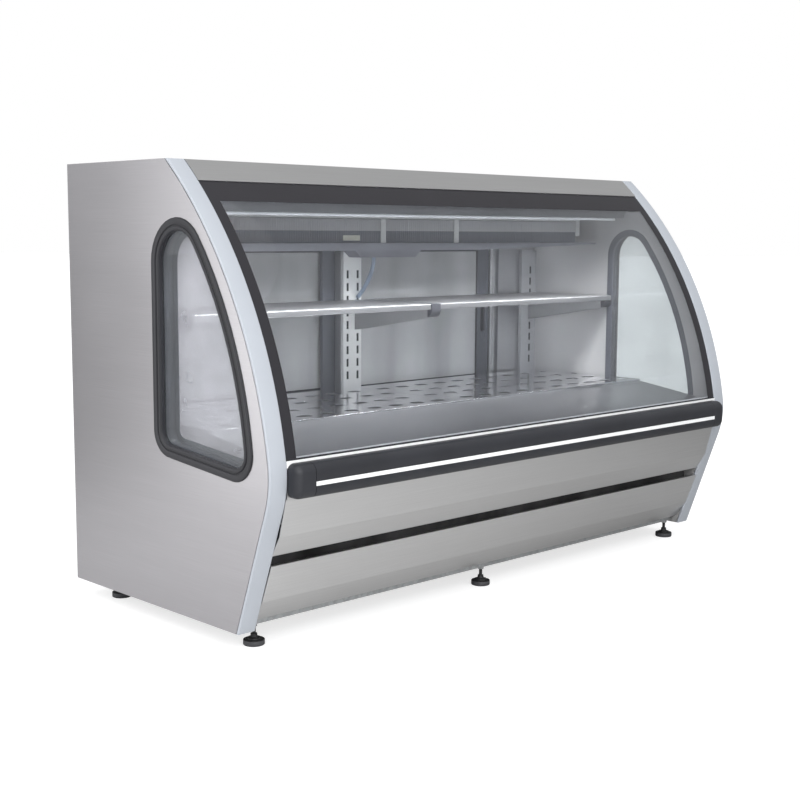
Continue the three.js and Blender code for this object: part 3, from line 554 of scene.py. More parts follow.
def slab(low, high, bevel=0.0005):
    """A block with softened edges between two corners, in the row frame."""
    work = bmesh.new()
    bmesh.ops.create_cube(work, size=1)
    low, high = Vector(map(min, low, high)), Vector(map(max, low, high))
    bmesh.ops.scale(work, vec=high - low, verts=work.verts)
    bmesh.ops.translate(work, vec=(low + high) / 2, verts=work.verts)
    bmesh.ops.bevel(work, geom=work.edges[:], offset=bevel, segments=2, affect="EDGES", profile=0.7)
    return finished(work)


def turned(profile, place, steps=32):
    """A shape turned round its own Z axis from (radius, height) points, then placed."""
    loops = []
    for radius, height in profile:
        r = max(radius, 1e-5)
        loops.append([
            Vector((r * math.cos(math.tau * i / steps), r * math.sin(math.tau * i / steps), height))
            for i in range(steps)
        ])
    made = rings(loops)
    made.transform(place)
    return made


def tube(points, radius, sides=10):
    """A round bar along a line of points."""
    loops = []
    line = [Vector(p) for p in points]
    across = None
    for i, p in enumerate(line):
        ahead = (line[min(i + 1, len(line) - 1)] - line[max(i - 1, 0)]).normalized()
        seed = across or (Vector((0, 0, 1)) if abs(ahead.z) < 0.9 else Vector((1, 0, 0)))
        across = (seed - ahead * seed.dot(ahead)).normalized()
        other = ahead.cross(across)
        loops.append([
            p + radius * (across * math.cos(math.tau * k / sides) + other * math.sin(math.tau * k / sides))
            for k in range(sides)
        ])
    return rings(loops)


def soften(node, material, width=0.0008):
    """Keeps a CAD node, with a material and worn edges."""
    obj = nodes[node]
    weld = obj.modifiers.new("weld", "WELD")
    weld.merge_threshold = 1e-5
    bevel = obj.modifiers.new("bevel", "BEVEL")
    bevel.width = width
    bevel.segments = 2
    bevel.limit_method = "ANGLE"
    bevel.angle_limit = math.radians(32)
    obj.data.materials.clear()
    obj.data.materials.append(material)


# ---------- Sides: panels, front strips, windows ----------

STRIP_THICK = 0.008
OUTER_PANE = {"inset": 0.023, "near": 0.0104, "far": 0.0144}
INNER_PANE = {"inset": 0.0468, "near": 0.0052, "far": 0.0022}
GASKET_PROFILE = [
    (0.0000, 0.0004), (0.0004, 0.0022), (0.0018, 0.0038), (0.0045, 0.0044), (0.0170, 0.0042),
    (0.0185, 0.0034), (0.0192, 0.0010), (0.0222, 0.0010), (0.0230, 0.0030), (0.0245, 0.0038),
    (0.0290, 0.0038), (0.0320, 0.0030), (0.0336, 0.0010), (0.0340, -0.0020), (0.0340, -0.0100),
    (0.0226, -0.0100), (0.0226, 0.0004),
]


def edge_sweep(section, low, high, steps):
    """Carries an (x, inset) section up the panels' front edge."""
    loops = []
    for i in range(steps + 1):
        height = low + (high - low) * i / steps
        loops.append([at(x, front_at(height, inset), height) for x, inset in section])
    return rings(loops)


def window_sweep(profile, sign):
    """Carries a closed (inset, outwards) profile round a side window."""
    loops = []
    for inset, out in profile:
        loops.append([at(sign * (HALF + out), u, v) for u, v in window_ring(inset)])
    return rings(loops, closed=True)


def window_pane(inset, near, far, sign):
    loops = [[at(sign * (HALF + out), u, v) for u, v in window_ring(inset)] for out in (near, far)]
    return rings(loops)


def make_side(name, sign):
    soften(f"side_panel_{name}", STEEL_SIDE, 0.0012)
    x_near, x_far = sorted((sign * INNER, sign * HALF))
    strip = rounded(x_near, x_far, 0.0, STRIP_THICK, 0.0026)
    piece(f"front_strip_{name}", edge_sweep(strip, 0.0, PANEL_HEIGHT, 72), TRIM,
          replaces=[f"edge_strip_{name}"])
    piece(f"gasket_{name}", window_sweep(GASKET_PROFILE, sign), RUBBER,
          replaces=[f"window_gasket_{name}"], sharp=50)
    inside = INNER - HALF
    outer = window_pane(OUTER_PANE["inset"], -OUTER_PANE["near"], -OUTER_PANE["far"], sign)
    inner = window_pane(INNER_PANE["inset"], inside + INNER_PANE["near"], inside + INNER_PANE["far"], sign)
    piece(f"side_glass_{name}", outer, SIDE_GLASS, replaces=[f"window_glazing_{name}"])
    # Only the left inner pane carries the pale film, as a painted reflection; the right one is clear.
    piece(f"inner_glass_{name}", inner, LEFT_PANE_PAINTED_REFLECTION if name == "left" else SIDE_GLASS)
    reveal = [
        (0.0224, -0.0146), (0.0340, -0.0146), (0.0340, -0.0160), (0.0300, -0.0172),
        (0.0300, inside + 0.0085), (0.0410, inside + 0.0075), (0.0455, inside + 0.0060),
        (0.0466, inside + 0.0038), (0.0455, inside + 0.0014), (0.0440, inside + 0.0002),
        (0.0224, inside + 0.0002),
    ]
    piece(f"window_reveal_{name}", window_sweep(reveal, sign), SLATE)


for side_name, side_sign in SIDES.items():
    make_side(side_name, side_sign)

# ---------- Top, header and glass front ----------

HEADER_FOOT = 1.148
GLASS = {"near": 0.004, "far": 0.010, "low": 0.4505, "high": 1.1476}
BAND = {"top": 1.096, "side": 0.034, "near": 0.0034, "far": 0.0039}

soften("top_panel", STEEL_LONG, 0.001)
header_face = [(front_at(h), h) for h in (HEADER_FOOT, 1.158, 1.168, 1.178, 1.188, 1.198, PANEL_HEIGHT)]
header_line = [(0.530, HEADER_FOOT), *header_face, (0.440, PANEL_HEIGHT)]
piece("header_sheet", run(fold(header_line, 0.003, 0.0015), -SPAN, SPAN), STEEL_LONG,
      replaces=["header"])

glass_section = rounded(-SPAN, SPAN, GLASS["near"], GLASS["far"], 0.001, 2)
piece("curved_glass", edge_sweep(glass_section, GLASS["low"], GLASS["high"], 60), FRONT_GLASS,
      replaces=["front_glass"])


def band(x0, x1, low, high, steps):
    section = [(x0, BAND["near"]), (x1, BAND["near"]), (x1, BAND["far"]), (x0, BAND["far"])]
    return edge_sweep(section, low, high, steps)


bands = [
    band(-SPAN, SPAN, BAND["top"], GLASS["high"], 8),
    band(-SPAN, -SPAN + BAND["side"], GLASS["low"], BAND["top"], 50),
    band(SPAN - BAND["side"], SPAN, GLASS["low"], BAND["top"], 50),
]
piece("ceramic_band", merged(bands), CERAMIC)
soften("glass_sill", WHITE, 0.0006)
sill_gasket = [
    (0.9088, 0.4560), (0.9098, 0.4560), (0.9098, 0.4582), (0.9106, 0.4592), (0.9106, 0.4610),
    (0.9096, 0.4624), (0.9084, 0.4624), (0.9079, 0.4612), (0.9083, 0.4586),
]
piece("sill_gasket", run(sill_gasket, -SPAN, SPAN), RUBBER)

# ---------- Bumper ----------

BUMPER = {"low": 0.364, "high": 0.452, "back": 0.914, "front": 0.955, "corner": 0.024}
STRIPE = {"low": 0.395, "high": 0.406, "deep": 0.003}
RAIL_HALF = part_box("bumper_rail")[1].x


def bumper_outline(grooved, inset=0.0):
    """The rail's (ahead, height) outline, drawn smaller by inset for the ends' rounding."""
    low, high, nose, corner = BUMPER["low"], BUMPER["high"], BUMPER["front"], BUMPER["corner"]
    outline = [(BUMPER["back"], low + inset)]
    turns = [(low + corner, -90, 0), (high - corner, 0, 90)]
    for number, (height, start, end) in enumerate(turns):
        if number and grooved:
            deep = nose - STRIPE["deep"] - 0.0004
            outline += [
                (nose, STRIPE["low"] - 0.0018), (nose - 0.0008, STRIPE["low"] - 0.0006),
                (deep, STRIPE["low"] - 0.0004), (deep, STRIPE["high"] + 0.0004),
                (nose - 0.0008, STRIPE["high"] + 0.0006), (nose, STRIPE["high"] + 0.0018),
            ]
        for i in range(9):
            angle = math.radians(start + (end - start) * i / 8)
            reach = corner - inset
            outline.append((nose - corner + reach * math.cos(angle), height + reach * math.sin(angle)))
    outline.append((BUMPER["back"], high - inset))
    return outline


def bumper_cap(sign):
    """The end piece: a lip that overlaps the rail, then the rail's shape rounded off at the end."""
    near, far = RAIL_HALF + 0.0004, SPAN
    radius = 0.020
    loops = []
    for i in range(9):
        angle = math.pi / 2 * i / 8
        x = far - radius + radius * math.sin(angle)
        loops.append((x, radius * (1 - math.cos(angle))))
    stations = [(near, 0.0012), (near + 0.0012, 0.0), *loops]
    return rings([[at(sign * x, u, v) for u, v in bumper_outline(False, inset)] for x, inset in stations])


piece("bumper", run(bumper_outline(True), -RAIL_HALF, RAIL_HALF), CHARCOAL,
      replaces=["bumper_rail"])
soften("bumper_stripe", WHITE, 0.0008)
for side_name, side_sign in SIDES.items():
    piece(f"bumper_end_{side_name}", bumper_cap(side_sign), CHARCOAL,
          replaces=[f"bumper_cap_{side_name}"])

# ---------- Front panels ----------

UPPER_PANEL = [
    (0.838, 0.207), (0.850, 0.207), (0.883, 0.262), (0.908, 0.358), (0.9134, 0.364), (0.9134, 0.4398),
]
LOWER_PANEL = [(0.758, 0.025), (0.772, 0.025), (0.810, 0.080), (0.850, 0.182), (0.838, 0.182)]
for level, panel_line in (("upper", UPPER_PANEL), ("lower", LOWER_PANEL)):
    piece(f"front_panel_{level}", run(fold(panel_line, 0.002, 0.002), -SPAN, SPAN), STEEL_LONG,
          replaces=[f"{level}_front_panel"])
# A sheet behind the air gap between the front panels, dark and blotchy as painted shade for the gap's inside.
baffle = fold([(0.742, 0.120), (0.800, 0.160), (0.800, 0.236), (0.760, 0.260)], 0.0015, 0.003)
piece("gap_baffle", run(baffle, -SPAN, SPAN), GAP_PAINTED_SHADE)

# ---------- Shell, rear and inside ----------

for shell_node, shell_look, shell_slot in [
    ("base_pan", GALVANISED, "galvanised"),
    ("well_floor", STEEL_INSIDE, "inner_steel"),
    ("rear_upper_panel", STEEL_LONG, "steel"),
    ("door_surround", STEEL_LONG, "steel"),
    ("middle_post", STEEL_UPRIGHT, "steel"),
    ("riser_cover", STEEL_INSIDE, "inner_steel"),
    ("front_apron", STEEL_INSIDE, "inner_steel"),
    ("lamp_housing", STEEL_SHADED, "inner_steel"),
    ("evaporator_hanger", FITTING, "fitting_white"),
    ("drip_tray", TRAY, "dark_tray"),
    ("control_box", CHARCOAL, "charcoal_plastic"),
    ("light_switch", BLACK_PAINT, "black_paint"),
    ("cable_gland", RUBBER, "black_rubber"),
    ("fan_shroud", GALVANISED, "galvanised"),
]:
    soften(shell_node, shell_look, 0.0005)

STANDARD_SKIN = 0.002
SLOT_SHADE_SHEET = {"thick": 0.0008, "clear": 0.0006, "short": 0.001}


def make_standard(name, paint):
    """A slotted standard and its bracket, with a dark sheet inside as painted shade, seen through the slots.
    """
    soften(f"standard_{name}", paint, 0.0005)
    soften(f"shelf_bracket_{name}", BRACKET_PAINT_AND_NOSE_SHADE, 0.0005)
    low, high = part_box(f"standard_{name}")
    margin = STANDARD_SKIN + SLOT_SHADE_SHEET["clear"]
    foot, top = low.z - LIFT + SLOT_SHADE_SHEET["short"], high.z - LIFT - SLOT_SHADE_SHEET["short"]
    outline = rounded(low.x + margin, high.x - margin, foot, top, 0.0004)
    sheet = plate(outline, [], SLOT_SHADE_SHEET["thick"], 0.0002, facing_rear(REAR - low.y - margin))
    piece(f"slot_painted_shade_{name}", sheet, CHARCOAL)


# The outer standards take the darker copy of the fitting paint as painted shade.
for standard_name, standard_paint in (("left", FITTING_PAINTED_SHADE), ("middle", FITTING), ("right", FITTING_PAINTED_SHADE)):
    make_standard(standard_name, standard_paint)

# ---------- Rear lower panel with pressed louvres ----------

REAR_SKIN = 0.004
CONTROL = (-0.780, -0.620, 0.285, 0.375)
GLAND = {"x": -0.820, "height": 0.090, "radius": 0.0124}
LOUVRES = {"left": 0.090, "right": 0.510, "low": 0.060, "pitch": 0.030, "count": 9, "high": 0.012}
HOOD = {"over": 0.004, "out": 0.0034, "skin": 0.0008}


def louvre_hood(low):
    """A hood pressed outwards over one slot, open below and drawn in towards its two ends."""
    left, right = LOUVRES["left"] - HOOD["over"], LOUVRES["right"] + HOOD["over"]
    tall = LOUVRES["high"] + HOOD["over"]

    def arc(x, squeeze, skin):
        angles = [math.pi / 2 * i / 8 for i in range(9)]
        return [
            at(x, REAR_SKIN - HOOD["out"] * squeeze * math.cos(a) + skin, low + (tall - skin) * math.sin(a))
            for a in angles
        ]

    loops = []
    for t, squeeze in [(0.0, 0.05), (0.02, 0.6), (0.05, 1.0), (0.95, 1.0), (0.98, 0.6), (1.0, 0.05)]:
        x = left + (right - left) * t
        loops.append(arc(x, squeeze, 0.0) + arc(x, squeeze, HOOD["skin"])[::-1])
    return rings(loops)


def grown(edges, margin):
    """A rectangle's four edges, moved out by a margin."""
    u0, u1, v0, v1 = edges
    return u0 - margin, u1 + margin, v0 - margin, v1 + margin


def make_rear_lower_panel():
    low, high = 0.010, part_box("rear_lower_panel")[1].z - LIFT
    window = rounded(*grown(CONTROL, 0.0004), 0.001)
    turns = [math.tau * i / 20 for i in range(20)]
    radius = GLAND["radius"]
    bore = [(GLAND["x"] + radius * math.cos(a), GLAND["height"] + radius * math.sin(a)) for a in turns]
    slots = []
    hoods = []
    for i in range(LOUVRES["count"]):
        foot = LOUVRES["low"] + i * LOUVRES["pitch"]
        slots.append(rounded(LOUVRES["left"], LOUVRES["right"], foot, foot + LOUVRES["high"], 0.004))
        hoods.append(louvre_hood(foot))
    outline = rounded(-SPAN, SPAN, low, high, 0.001)
    sheet = plate(outline, [window, bore, *slots], 0.003, 0.0006, facing_rear(REAR_SKIN + 0.0015))
    piece("rear_service_panel", merged([sheet, *hoods]), STEEL_LONG, replaces=["rear_lower_panel"],
          sharp=PLATE_SHARP)


make_rear_lower_panel()


def screw(x, height, ahead):
    """A pan-head screw that faces the rear."""
    profile = [(0.0, 0.0016), (0.0022, 0.0014), (0.0036, 0.0006), (0.0040, 0.0), (0.0, 0.0)]
    turn = Matrix.Rotation(-math.pi / 2, 4, "X")
    return turned(profile, Matrix.Translation(at(x, ahead, height)) @ turn, 14)


screw_heads = [
    screw(x, height, REAR_SKIN)
    for x in (-0.925, -0.55, -0.20, 0.05, 0.55, 0.925)
    for height in (0.022, 0.388, 1.000, 1.135)
]
piece("rear_screws", merged(screw_heads), GALVANISED)

# ---------- Rear doors ----------

STILE = 0.060
RAIL = 0.021
GRIP = {"half": 0.011, "low": 0.650, "high": 0.790}


def make_door(name, grip_sign):
    low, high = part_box(f"door_frame_{name}")
    bottom, top = low.z - LIFT, high.z - LIFT
    back, front = REAR - high.y, REAR - low.y
    light = (low.x + STILE, high.x - STILE, bottom + RAIL, top - RAIL)
    grip_x = (high.x - STILE / 2) if grip_sign > 0 else (low.x + STILE / 2)
    grip_edges = (grip_x - GRIP["half"], grip_x + GRIP["half"], GRIP["low"], GRIP["high"])
    grip = rounded(*grip_edges, 0.010)
    opening = rounded(*light, 0.003)
    outline = rounded(low.x, high.x, bottom, top, 0.003)
    middle = (back + front) / 2
    frame_mesh = plate(outline, [opening, grip], front - back, 0.0018, facing_rear(middle))
    body = f"door_{name}"
    piece(f"sliding_door_{name}", frame_mesh, PROFILE, body, [f"door_frame_{name}"],
          sharp=PLATE_SHARP)
    cup_mouth = rounded(*grown(grip_edges, -0.0015), 0.0085)
    cup_wall = plate(rounded(*grown(grip_edges, 0.0005), 0.0105), [cup_mouth], 0.0085, 0.0003,
                     facing_rear(back + 0.0044))
    cup_floor = plate(rounded(*grown(grip_edges, 0.0002), 0.0102), [], 0.002, 0.0003,
                      facing_rear(back + 0.0090))
    piece(f"door_grip_{name}", merged([cup_wall, cup_floor]), RUBBER, body)
    bead_in = rounded(*grown(light, -0.006), 0.003)
    bead_out = rounded(*grown(light, -0.0002), 0.003)
    beads = [
        plate(bead_out, [bead_in], 0.0028, 0.0008, facing_rear(back + depth)) for depth in (0.0024, 0.0126)
    ]
    piece(f"door_bead_{name}", merged(beads), RUBBER, body, sharp=PLATE_SHARP)
    glass_mesh = plate(rounded(*grown(light, -0.0004), 0.002), [], 0.007, 0.0006, facing_rear(back + 0.0075))
    piece(f"door_pane_{name}", glass_mesh, DOOR_GLASS, body, [f"door_glass_{name}"],
          sharp=PLATE_SHARP)


make_door("left", -1)
make_door("right", 1)

# ---------- Shelves and deck racks ----------

SHELF = {"top": 0.794, "lip": 0.018, "rear": 0.112, "front": 0.467}
DECK = {"top": 0.500, "rear": 0.110, "front": 0.605, "fold_front": 0.0086, "fold_rear": 0.0196}
HOLES = {"rows": 4, "columns": 10, "wide": 0.044, "deep": 0.030, "first": 0.210}
HOLE_PITCH = {"across": 0.090, "ahead": 0.113}

shelf_line = [
    (SHELF["front"] - 0.016, SHELF["top"] - SHELF["lip"]),
    (SHELF["front"], SHELF["top"] - SHELF["lip"]),
    (SHELF["front"], SHELF["top"]),
    (SHELF["rear"], SHELF["top"]),
    (SHELF["rear"], SHELF["top"] - SHELF["lip"]),
]
for side_name in SIDES:
    low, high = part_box(f"shelf_{side_name}")
    shelf_mesh = run(fold(shelf_line, 0.002, 0.0015), low.x, high.x)
    piece(f"display_shelf_{side_name}", shelf_mesh, STEEL_SHELF, f"display_shelf_{side_name}",
          [f"shelf_{side_name}"])


def make_rack(name):
    low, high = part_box(f"deck_rack_{name}")
    middle = (low.x + high.x) / 2
    thick = 0.002
    lip = 0.006
    holes = []
    for row in range(HOLES["rows"]):
        shift = HOLE_PITCH["across"] / 4 * (1 if row % 2 else -1)
        ahead = HOLES["first"] + row * HOLE_PITCH["ahead"]
        for column in range(HOLES["columns"]):
            x = middle + (column - (HOLES["columns"] - 1) / 2) * HOLE_PITCH["across"] + shift
            wide, deep = HOLES["wide"] / 2, HOLES["deep"] / 2
            holes.append(rounded(x - wide, x + wide, ahead - deep, ahead + deep, 0.006, 3))
    outline = rounded(low.x, high.x, DECK["rear"] + lip, DECK["front"] - lip, 0.0005, 1)
    top = plate(outline, holes, thick, 0.0004, lying(DECK["top"] - thick / 2))
    front_foot = DECK["top"] - DECK["fold_front"]
    rear_foot = DECK["top"] - DECK["fold_rear"]
    front = [(DECK["front"], front_foot), (DECK["front"], DECK["top"]), (DECK["front"] - lip, DECK["top"])]
    rear = [(DECK["rear"] + lip, DECK["top"]), (DECK["rear"], DECK["top"]), (DECK["rear"], rear_foot)]
    lips = [run(fold(line, thick, 0.001), low.x, high.x) for line in (front, rear)]
    piece(f"perforated_rack_{name}", merged([top, *lips]), STEEL_DECK, f"rack_{name}",
          [f"deck_rack_{name}"], sharp=PLATE_SHARP)


for side_name in SIDES:
    make_rack(side_name)

# ---------- Lamp, cooling coil, hose ----------


def make_lamp():
    low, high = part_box("lamp_tube")
    radius = (high.z - low.z) / 2
    along = Matrix.Translation(centre_of("lamp_tube")) @ Matrix.Rotation(math.pi / 2, 4, "Y")
    half = high.x
    cap = 0.016
    reach, slim = half - cap, radius - 0.0006
    body = [(0.0, -reach), (slim, -reach), (slim, reach), (0.0, reach)]
    piece("lamp_glass", turned(body, along, 20), LAMP, replaces=["lamp_tube"])
    ends = []
    for sign in (-1, 1):
        shape = [(0.0, half), (radius - 0.002, half), (radius, half - 0.002), (radius, reach + 0.001),
                 (0.0, reach + 0.001)]
        ends.append(turned([(r, sign * h) for r, h in shape], along, 20))
    piece("lamp_ends", merged(ends), FITTING)


make_lamp()


def finned_block(name, node, pitch, thick, tube_rows, tube_columns, tube_radius, material):
    """A heat exchanger: a row of thin fins threaded on tubes that turn back at the ends."""
    low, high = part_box(node)
    margin = tube_radius * 3.2
    count = int((high.x - low.x - 2 * margin) / pitch)
    fins = []
    for i in range(count + 1):
        x = low.x + margin + i * pitch
        reach = 0.0 if i % 2 else 0.0008
        edge = [(low.y + reach, low.z), (high.y, low.z), (high.y, high.z), (low.y + reach, high.z)]
        fins.append(rings([[(place, y, z) for y, z in edge] for place in (x, x + thick)]))
    piece(name, merged(fins), material, replaces=[node], sharp=20)
    bars = []
    step_z = (high.z - low.z) / tube_rows
    step_y = (high.y - low.y) / tube_columns
    for row in range(tube_rows):
        z = low.z + step_z * (row + 0.5)
        for column in range(tube_columns):
            y = low.y + step_y * (column + 0.5)
            bars.append(tube([(low.x + margin, y, z), (high.x - margin, y, z)], tube_radius, 8))
        for end, sign in ((low.x + margin, -1), (high.x - margin, 1)):
            for column in range(0, tube_columns - 1, 2):
                y = low.y + step_y * (column + 0.5)
                bend = []
                for k in range(9):
                    angle = math.pi * k / 8
                    out = min(step_y / 2, margin - tube_radius) * math.sin(angle)
                    bend.append((end + sign * out, y + step_y / 2 * (1 - math.cos(angle)), z))
                bars.append(tube(bend, tube_radius, 8))
    piece(name + "_tubes", merged(bars), COPPER)


finned_block("cooling_coil", "evaporator_coil", 0.009, 0.0012, 3, 6, 0.0048, COIL_FIN)
finned_block("condenser_fins", "condenser_coil", 0.006, 0.0010, 10, 3, 0.0048, CONDENSER_FIN)

LABEL_CORNERS = [(-0.265, 0.3542, 0.992), (-0.195, 0.3548, 1.008)]
piece("coil_label", slab(*[at(*corner) for corner in LABEL_CORNERS], 0.0001), LABEL)

HOSE_RADIUS = 0.007
HOSE_ROUTE = [
    (0.018, 0.188, 0.9356), (0.018, 0.187, 0.915), (0.018, 0.176, 0.884), (0.018, 0.155, 0.850),
    (0.017, 0.133, 0.822), (0.017, 0.111, 0.802),
]


def smooth_line(points, samples):
    """Points along a Catmull-Rom line through the given ones."""
    padded = [2 * points[0] - points[1], *points, 2 * points[-1] - points[-2]]
    line = []
    for a, b, c, d in zip(padded, padded[1:], padded[2:], padded[3:]):
        for i in range(samples):
            t = i / samples
            line.append(0.5 * (2 * b + (c - a) * t + (2 * a - 5 * b + 4 * c - d) * t * t
                               + (3 * b - a - 3 * c + d) * t ** 3))
    line.append(points[-1])
    return line


def make_hose():
    line = smooth_line([at(*stop) for stop in HOSE_ROUTE], 5)
    hose = piece("drain_tube", tube(line, HOSE_RADIUS, 14), HOSE, replaces=["drain_hose"])


make_hose()

# ---------- Controls ----------


def facing_out(node):
    """Placed at the node's middle, with the turned shape's axis towards the rear."""
    middle = centre_of(node)
    foot = Vector((middle.x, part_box(node)[0].y, middle.z))
    return Matrix.Translation(foot) @ Matrix.Rotation(-math.pi / 2, 4, "X")


KNOB_TICKS = 11
KNOB_SWEEP = math.radians(270)


def make_knob():
    low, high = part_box("thermostat_knob")
    tall = high.y - low.y
    place = facing_out("thermostat_knob")
    profile = [
        (0.0, 0.0), (0.0198, 0.0), (0.0200, 0.0008), (0.0196, 0.0026), (0.0155, 0.0046), (0.0146, 0.0060),
        (0.0134, tall - 0.0042), (0.0122, tall - 0.0030), (0.0, tall - 0.0028),
    ]
    shell = turned(profile, place, 40)
    grip = slab((-0.0023, -0.0132, tall - 0.006), (0.0023, 0.0132, tall - 0.0004), 0.0008)
    grip.transform(place)
    piece("thermostat_dial", merged([shell, grip]), CHARCOAL, "knob", ["thermostat_knob"])
    pointer = slab((-0.0007, -0.0122, tall - 0.0010), (0.0007, -0.0040, tall), 0.0001)
    pointer.transform(place)
    piece("thermostat_pointer", pointer, WHITE, "knob")
    ticks = []
    for i in range(KNOB_TICKS):
        angle = KNOB_SWEEP * (i / (KNOB_TICKS - 1) - 0.5)
        tick = slab((-0.0005, 0.0215, 0.0001), (0.0005, 0.0250 if i % 5 else 0.0265, 0.0004), 0.0001)
        tick.transform(place @ Matrix.Rotation(angle + math.pi, 4, "Z"))
        ticks.append(tick)
    piece("thermostat_scale", merged(ticks), WHITE)


make_knob()

# ---------- Condensing unit ----------


COMPRESSOR_AHEAD = 0.330
COMPRESSOR_POT = [
    (0.0, 0.0), (0.086, 0.0), (0.088, 0.004), (0.092, 0.014), (0.098, 0.026), (0.100, 0.088),
    (0.1036, 0.093), (0.104, 0.098), (0.1036, 0.103), (0.100, 0.108), (0.0985, 0.140), (0.093, 0.170),
    (0.082, 0.190), (0.064, 0.203), (0.036, 0.2115), (0.0, 0.2139),
]
FAN = {"x": 0.300, "ahead": 0.535, "height": 0.180, "blades": 5, "root": 0.018, "tip": 0.0945}


def make_compressor():
    low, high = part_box("compressor")
    base = Matrix.Translation(((low.x + high.x) / 2, REAR - COMPRESSOR_AHEAD, low.z))
    shells = [turned(COMPRESSOR_POT, base, 48)]
    plate_mesh = slab((-0.115, -0.100, 0.0), (0.115, 0.100, 0.008), 0.002)
    terminals = slab((-0.030, -0.124, 0.075), (0.030, -0.084, 0.145), 0.004)
    for mesh in (plate_mesh, terminals):
        mesh.transform(base)
        shells.append(mesh)
    piece("compressor_pot", merged(shells), BLACK_PAINT, replaces=["compressor"])
    stubs = []
    for x, z in ((-0.05, 0.165), (0.055, 0.150)):
        bend = [(0.060, 0.0), (0.100, 0.006), (0.112, 0.020), (0.114, 0.045)]
        stubs.append(tube([base @ Vector((x, y, z + rise)) for y, rise in bend], 0.0048))
    piece("compressor_stubs", merged(stubs), COPPER)


def make_fan():
    hub_at = at(FAN["x"], FAN["ahead"], FAN["height"])
    place = Matrix.Translation(hub_at) @ Matrix.Rotation(math.pi / 2, 4, "X")
    cup = [(0.0, -0.012), (0.022, -0.012), (0.024, -0.010), (0.024, 0.008), (0.019, 0.0118), (0.0, 0.012)]
    hub = turned(cup, place, 28)
    blades = []
    for number in range(FAN["blades"]):
        loops = []
        for i in range(9):
            reach = FAN["root"] + (FAN["tip"] - FAN["root"]) * i / 8
            wide = 0.020 + 0.013 * math.sin(math.pi * (0.15 + 0.75 * i / 8))
            pitch = 0.62 - 0.32 * i / 8
            sweep = 0.10 * i / 8
            loop = []
            for side, thick in ((-1, 1), (0, 1), (1, 1), (1, -1), (0, -1), (-1, -1)):
                across = side * wide
                camber = 0.0035 * (1 - side * side)
                rise = across * math.sin(pitch) + camber + thick * 0.0008
                point = Vector((reach, across * math.cos(pitch), rise))
                loop.append(Matrix.Rotation(sweep, 3, "Z") @ point)
            loops.append(loop)
        blade = rings(loops)
        blade.transform(place @ Matrix.Rotation(math.tau * number / FAN["blades"], 4, "Z"))
        blades.append(blade)
    piece("fan_blades", merged([hub, *blades]), BLACK_PAINT, "fan", ["condenser_fan"],
          sharp=50)


make_compressor()
make_fan()

# ---------- Levelling feet ----------

FOOT_PROFILE = [
    (0.0, 0.0), (0.0262, 0.0), (0.0278, 0.0008), (0.0285, 0.0024), (0.0285, 0.0132), (0.0278, 0.0146),
    (0.0260, 0.0152), (0.0205, 0.0160), (0.0190, 0.0168), (0.0180, 0.0190), (0.0120, 0.0204),
    (0.0098, 0.0224), (0.0090, 0.0250), (0.0088, 0.0300), (0.0050, 0.0304), (0.0050, 0.0740), (0.0, 0.0740),
]
LOCK_NUT = [(0.0, 0.049), (0.0090, 0.049), (0.0095, 0.0502), (0.0095, 0.0562), (0.0090, 0.057), (0.0, 0.057)]


def make_foot(row, column):
    middle = centre_of(f"foot_{row}_{column}")
    place = Matrix.Translation((middle.x, middle.y, 0))
    body = f"leveller_{row}_{column}"
    piece(body, turned(FOOT_PROFILE, place, 40), FOOT_PLASTIC, body, [f"foot_{row}_{column}"])
    nut = turned(LOCK_NUT, place, 6)
    piece(f"lock_nut_{row}_{column}", nut, GALVANISED, body, sharp=20)


for foot_row in ("front", "rear"):
    for foot_column in ("left", "middle", "right"):
        make_foot(foot_row, foot_column)

# ---------- Studio ----------


def make_floor():
    """A white floor to the camera. To everything else it is paler on its left and near side, with painted
    shade to the right and rear for the room's light falling off.
    """
    work = bmesh.new()
    bmesh.ops.create_circle(work, cap_ends=True, segments=96, radius=60)
    mesh = finished(work)
    floor = bpy.data.objects.new("floor", mesh)
    look = Look("floor_paint", 0.75, Emission_Color=(1, 1, 1, 1))
    cloud = look.noise(0.8, 2.0)
    seen = look.node("LightPath").outputs["Is Camera Ray"]
    pale = look.tint(cloud, (0.65, 0.65, 0.65), (0.67, 0.67, 0.67))
    # Painted shade: to all but the camera the floor darkens to the right and rear, for the room's light
    # falling off.
    rightwards = look.span(look.place("X"), 0.0, 1.0, -0.8, 2.2)
    rearwards = look.span(look.place("Y"), 0.0, 1.0, 1.6, 3.4)
    paint = look.blend(look.math("MAXIMUM", rightwards, rearwards), pale, (0.24, 0.24, 0.24, 1))
    look.colour(look.blend(seen, paint, (0.42, 0.42, 0.42, 1)))
    look.feed(look.shader.inputs["Emission Strength"], look.span(seen, 0.0, 0.70, 0, 1))
    mesh.materials.append(look.material)
    scene.collection.objects.link(floor)


def hang(light, way):
    lamp = bpy.data.objects.new(light.name, light)
    lamp.rotation_euler = way.to_track_quat("-Z", "Y").to_euler()
    scene.collection.objects.link(lamp)
    return lamp


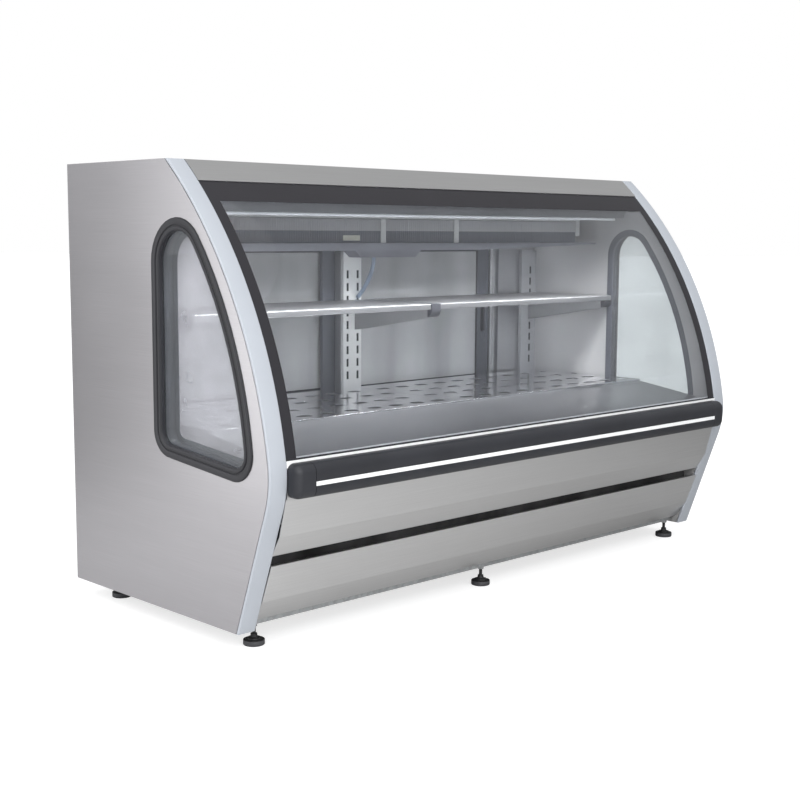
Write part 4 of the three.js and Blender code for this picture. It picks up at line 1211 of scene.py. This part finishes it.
def soft_box(name, place, target, wide, tall, watts, spread=180):
    light = bpy.data.lights.new(name, "AREA")
    light.shape = "RECTANGLE"
    light.size = wide
    light.size_y = tall
    light.energy = watts
    light.spread = math.radians(spread)
    lamp = hang(light, Vector(target) - Vector(place))
    lamp.location = place
    lamp.visible_camera = False


def sky_light(name, way, spread, strength):
    """A wide soft source that lights the whole floor evenly."""
    light = bpy.data.lights.new(name, "SUN")
    light.energy = strength
    light.angle = math.radians(spread)
    hang(light, Vector(way))


def make_world():
    """White to the camera. To everything else, a pale room that is brighter on its left."""
    world = bpy.data.worlds.new("studio")
    world.use_nodes = True
    scene.world = world
    tree = world.node_tree
    lit = tree.nodes["Background"]
    shown = tree.nodes.new("ShaderNodeBackground")
    shown.inputs["Color"].default_value = (1, 1, 1, 1)
    way = tree.nodes.new("ShaderNodeTexCoord")
    split = tree.nodes.new("ShaderNodeSeparateXYZ")
    tree.links.new(way.outputs["Generated"], split.inputs["Vector"])
    grade = tree.nodes.new("ShaderNodeMapRange")
    grade.interpolation_type = "SMOOTHSTEP"
    for socket, value in {"From Min": 0.9, "From Max": -0.7, "To Min": 0.52, "To Max": 0.80}.items():
        grade.inputs[socket].default_value = value
    tree.links.new(split.outputs["X"], grade.inputs["Value"])
    lit.inputs["Color"].default_value = (0.98, 0.99, 1.0, 1)
    tree.links.new(grade.outputs["Result"], lit.inputs["Strength"])
    path = tree.nodes.new("ShaderNodeLightPath")
    mix = tree.nodes.new("ShaderNodeMixShader")
    tree.links.new(path.outputs["Is Camera Ray"], mix.inputs["Fac"])
    tree.links.new(lit.outputs["Background"], mix.inputs[1])
    tree.links.new(shown.outputs["Background"], mix.inputs[2])
    tree.links.new(mix.outputs["Shader"], tree.nodes["World Output"].inputs["Surface"])


make_floor()
make_world()
sky_light("ceiling", (0.35, 0.45, -1.0), 80, 1.9)
soft_box("left_card", (-2.5, 0.95, 1.0), (-1.0, -0.3, 0.8), 0.9, 1.8, 15)
soft_box("case_fill", at(0, 0.60, 1.02), at(0, 0.40, 0.50), 1.8, 0.08, 15, 104)
soft_box("front_card", (-1.8, -2.9, 1.7), (-0.4, 0, 0.8), 4.2, 2.6, 62)
scene.view_settings.view_transform = "Standard"
